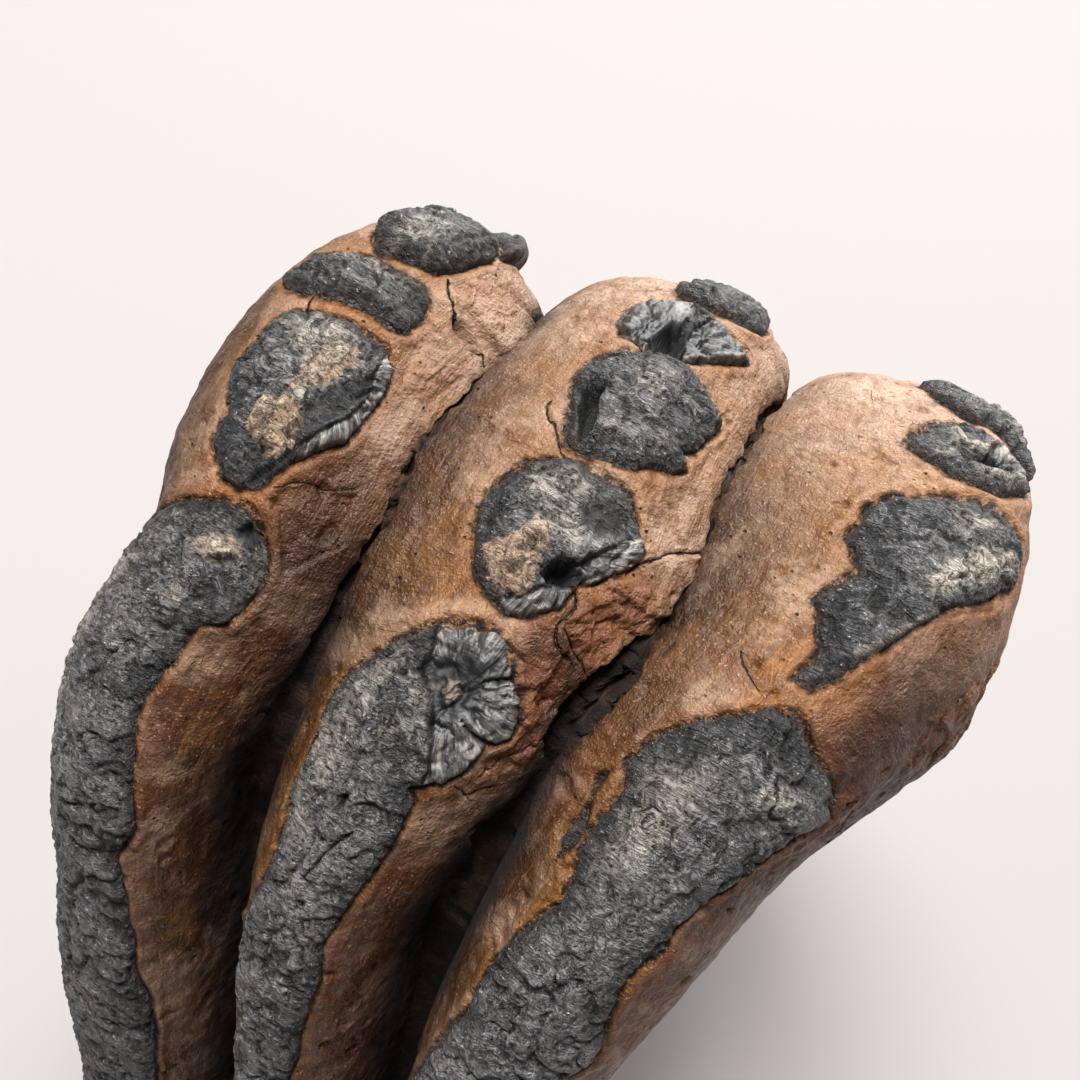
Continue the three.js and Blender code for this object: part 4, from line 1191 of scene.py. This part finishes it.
# Third plate: lumpy front ridge with islands beside it, then three worn fingers.
patch = patches["ridge_3"]
for t, v in ((1, 71.3), (5, 70.6)):
    hollow(patch, diamond(t, v, 3, 0.4), 0.3, 0.8, 0.25)
hollow(patch, [(2, 67), (8, 67.8), (14, 68.5), (28, 68.7), (24, 67.6), (16, 66.9), (8, 66.6)], 0.3, 0.55, 0.5)
fold(patch, [(7, 68.6), (12, 69.1), (17, 69.6)], 0.25, 0.2, 1)
fold(patch, [(12, 68.8), (19, 68.9), (26, 69.6)], 0.22, 0.18, 0.9)
dusting(patch, [(4, 68.4), (11, 69.7), (22, 69.4), (18, 68.4), (10, 68.1)], 0.9)
dusting(patch, [(-30, 67.5), (-14, 69), (-4, 67), (-8, 63.5), (-22, 62.5), (-28, 65)], 0.55)
split(patch, [(-6, 72.2), (0, 71.7), (3, 70.4), (8, 70.2)], 0.078, 0.4)

patch = patches["tip_3b"]
hollow(patch, [(-9, 78.2), (-8, 78.9), (-3, 78.4), (-3, 77.5), (-8, 77.6)], 0.4, 0.85)
dusting(patch, [(1, 80.2), (8, 82.5), (29, 84.4), (41, 84.8), (34, 83.6), (14, 80.6), (7, 79.6)], 1.0, 0.4)
dusting(patch, [(-4, 84.4), (15, 85.4), (24, 84.8), (6, 83)], 0.6)
fold(patch, [(-4, 75.2), (2, 76.6), (8, 78.2), (16, 79.6)], 0.22, 0.16, 0.35)
fold(patch, [(4, 80), (14, 81.6), (28, 83.4)], 0.25, 0.16, 0.6)
hollow(patch, [(-1, 74.2), (5, 76.2), (12, 78.4), (22, 80.4), (40, 82.6), (38, 81.6), (14, 78.6), (4, 75)],
       0.2, 0.8, 0.3)

patch = patches["tip_3c"]
crystal_fan(patch, (12, 88.6), [(2, 89.4), (14, 90.6), (27, 90.4), (30, 89), (16, 88.4), (4, 88.4)], 0.4, 13,
    4)
patch.fan *= 0.8
hollow(patch, [(-6, 88.3), (2, 88.9), (14, 89), (24, 89.4), (16, 88.2), (2, 87.6), (-6, 87.7)], 1.3, 1, 0.25)
fold(patch, [(-12, 89.4), (-8, 88.5), (-8, 87.2), (-13, 87)], 0.22, 0.25, 0.5)
fold(patch, [(-2, 87), (6, 87.3), (16, 87.7), (28, 89)], 0.26, 0.35, 0.9)
fold(patch, [(-10, 89.2), (-4, 88.7), (2, 89.2), (10, 90.2)], 0.24, 0.3, 1.0)
dusting(patch, [(-4, 89.5), (10, 91), (28, 90.6), (14, 89.2)], 0.5)

patch = patches["tip_3d"]
fold(patch, [(-8, 92.6), (4, 93.6), (16, 92.9), (30, 92)], 0.25, 0.3, 0.7)
for t, v in ((-6, 91.8), (4, 92.6), (14, 92.2), (24, 91.6)):
    hollow(patch, [(t - 3, v - 0.5), (t, v + 0.5), (t + 3, v + 0.2), (t + 1, v - 0.7)], 0.6, 0.9, 0.25)

for name, patch in patches.items():
    finger_piece(patch, "enamel_" + name)

# Rear ridges, down the back of each plate.
REAR_RISE = 0.5
REAR_SHOULDER = 2.2
for p, outline in enumerate(REAR_RIDGES):
    rear_ridge = finger_patch(p, [outline], REAR_RISE, REAR_SHOULDER, [], REAR_SPACING)
    finger_piece(rear_ridge, f"enamel_rear_ridge_{p + 1}")

# ---------------------------------------------------------------------------------------------------------
# Studio: a plain pale floor, a soft lamp high over the left side, a large one low behind the tooth, a weaker
# one on the right, and even pale surroundings. Places and sizes of the lamps are in metres.
# ---------------------------------------------------------------------------------------------------------
FLOOR_HALF = 3.0
FLOOR_GAP = 0.05 * MM  # under the tooth's foot
LAMP_AIM = np.array((0, 0, 0.05))
WINDOW_LIGHT = (1.0, 0.985, 0.98)
LAMPS = [  # name, place, width, power in watts, colour
    ("key_softbox", (-0.13, 0.04, 0.62), 0.26, 8.0, (1.0, 0.99, 0.97)),
    ("window_behind", (-0.05, 0.68, 0.30), 0.50, 8.0, WINDOW_LIGHT),
    ("window_right", (0.52, 0.42, 0.16), 0.35, 1.2, WINDOW_LIGHT),
]
SURROUNDINGS = (1.0, 0.985, 0.975, 1)
SURROUNDINGS_STRENGTH = 0.18

# Matt white card. It gives the eye a floor with no gloss, a little lit from below so that shadows stay faint.
paper, _ = start_material("matt_white_card")
show(paper, add(paper, "BsdfPrincipled", Base_Color=hex_colour("#989392"), Roughness=0.9,
                Emission_Color=hex_colour("#fbf5f4"), Emission_Strength=0.05))
floor_mesh = bpy.data.meshes.new("studio_floor")
floor_corners = [(x * FLOOR_HALF, y * FLOOR_HALF, 0) for x, y in ((-1, -1), (1, -1), (1, 1), (-1, 1))]
floor_mesh.from_pydata(floor_corners, [], [(0, 1, 2, 3)])
floor_mesh.materials.append(paper)
floor = bpy.data.objects.new("studio_floor", floor_mesh)
floor.location.z = -FLOOR_GAP
bpy.context.scene.collection.objects.link(floor)

for name, place, size, power, colour in LAMPS:
    data = bpy.data.lights.new(name, "AREA")
    data.size = size
    data.energy = power
    data.color = colour
    lamp = bpy.data.objects.new(name, data)
    away = np.array(place) - LAMP_AIM
    back = away / np.linalg.norm(away)
    right = np.cross((0, 0, 1), back)
    right = right / np.linalg.norm(right)
    turned = Matrix((right, np.cross(back, right), back)).transposed().to_4x4()
    lamp.matrix_world = Matrix.Translation(place) @ turned
    bpy.context.scene.collection.objects.link(lamp)

world = bpy.data.worlds.new("pale_surroundings")
world.use_nodes = True
background = world.node_tree.nodes["Background"]
background.inputs["Color"].default_value = SURROUNDINGS
background.inputs["Strength"].default_value = SURROUNDINGS_STRENGTH
bpy.context.scene.world = world
bpy.context.scene.view_settings.view_transform = "Standard"
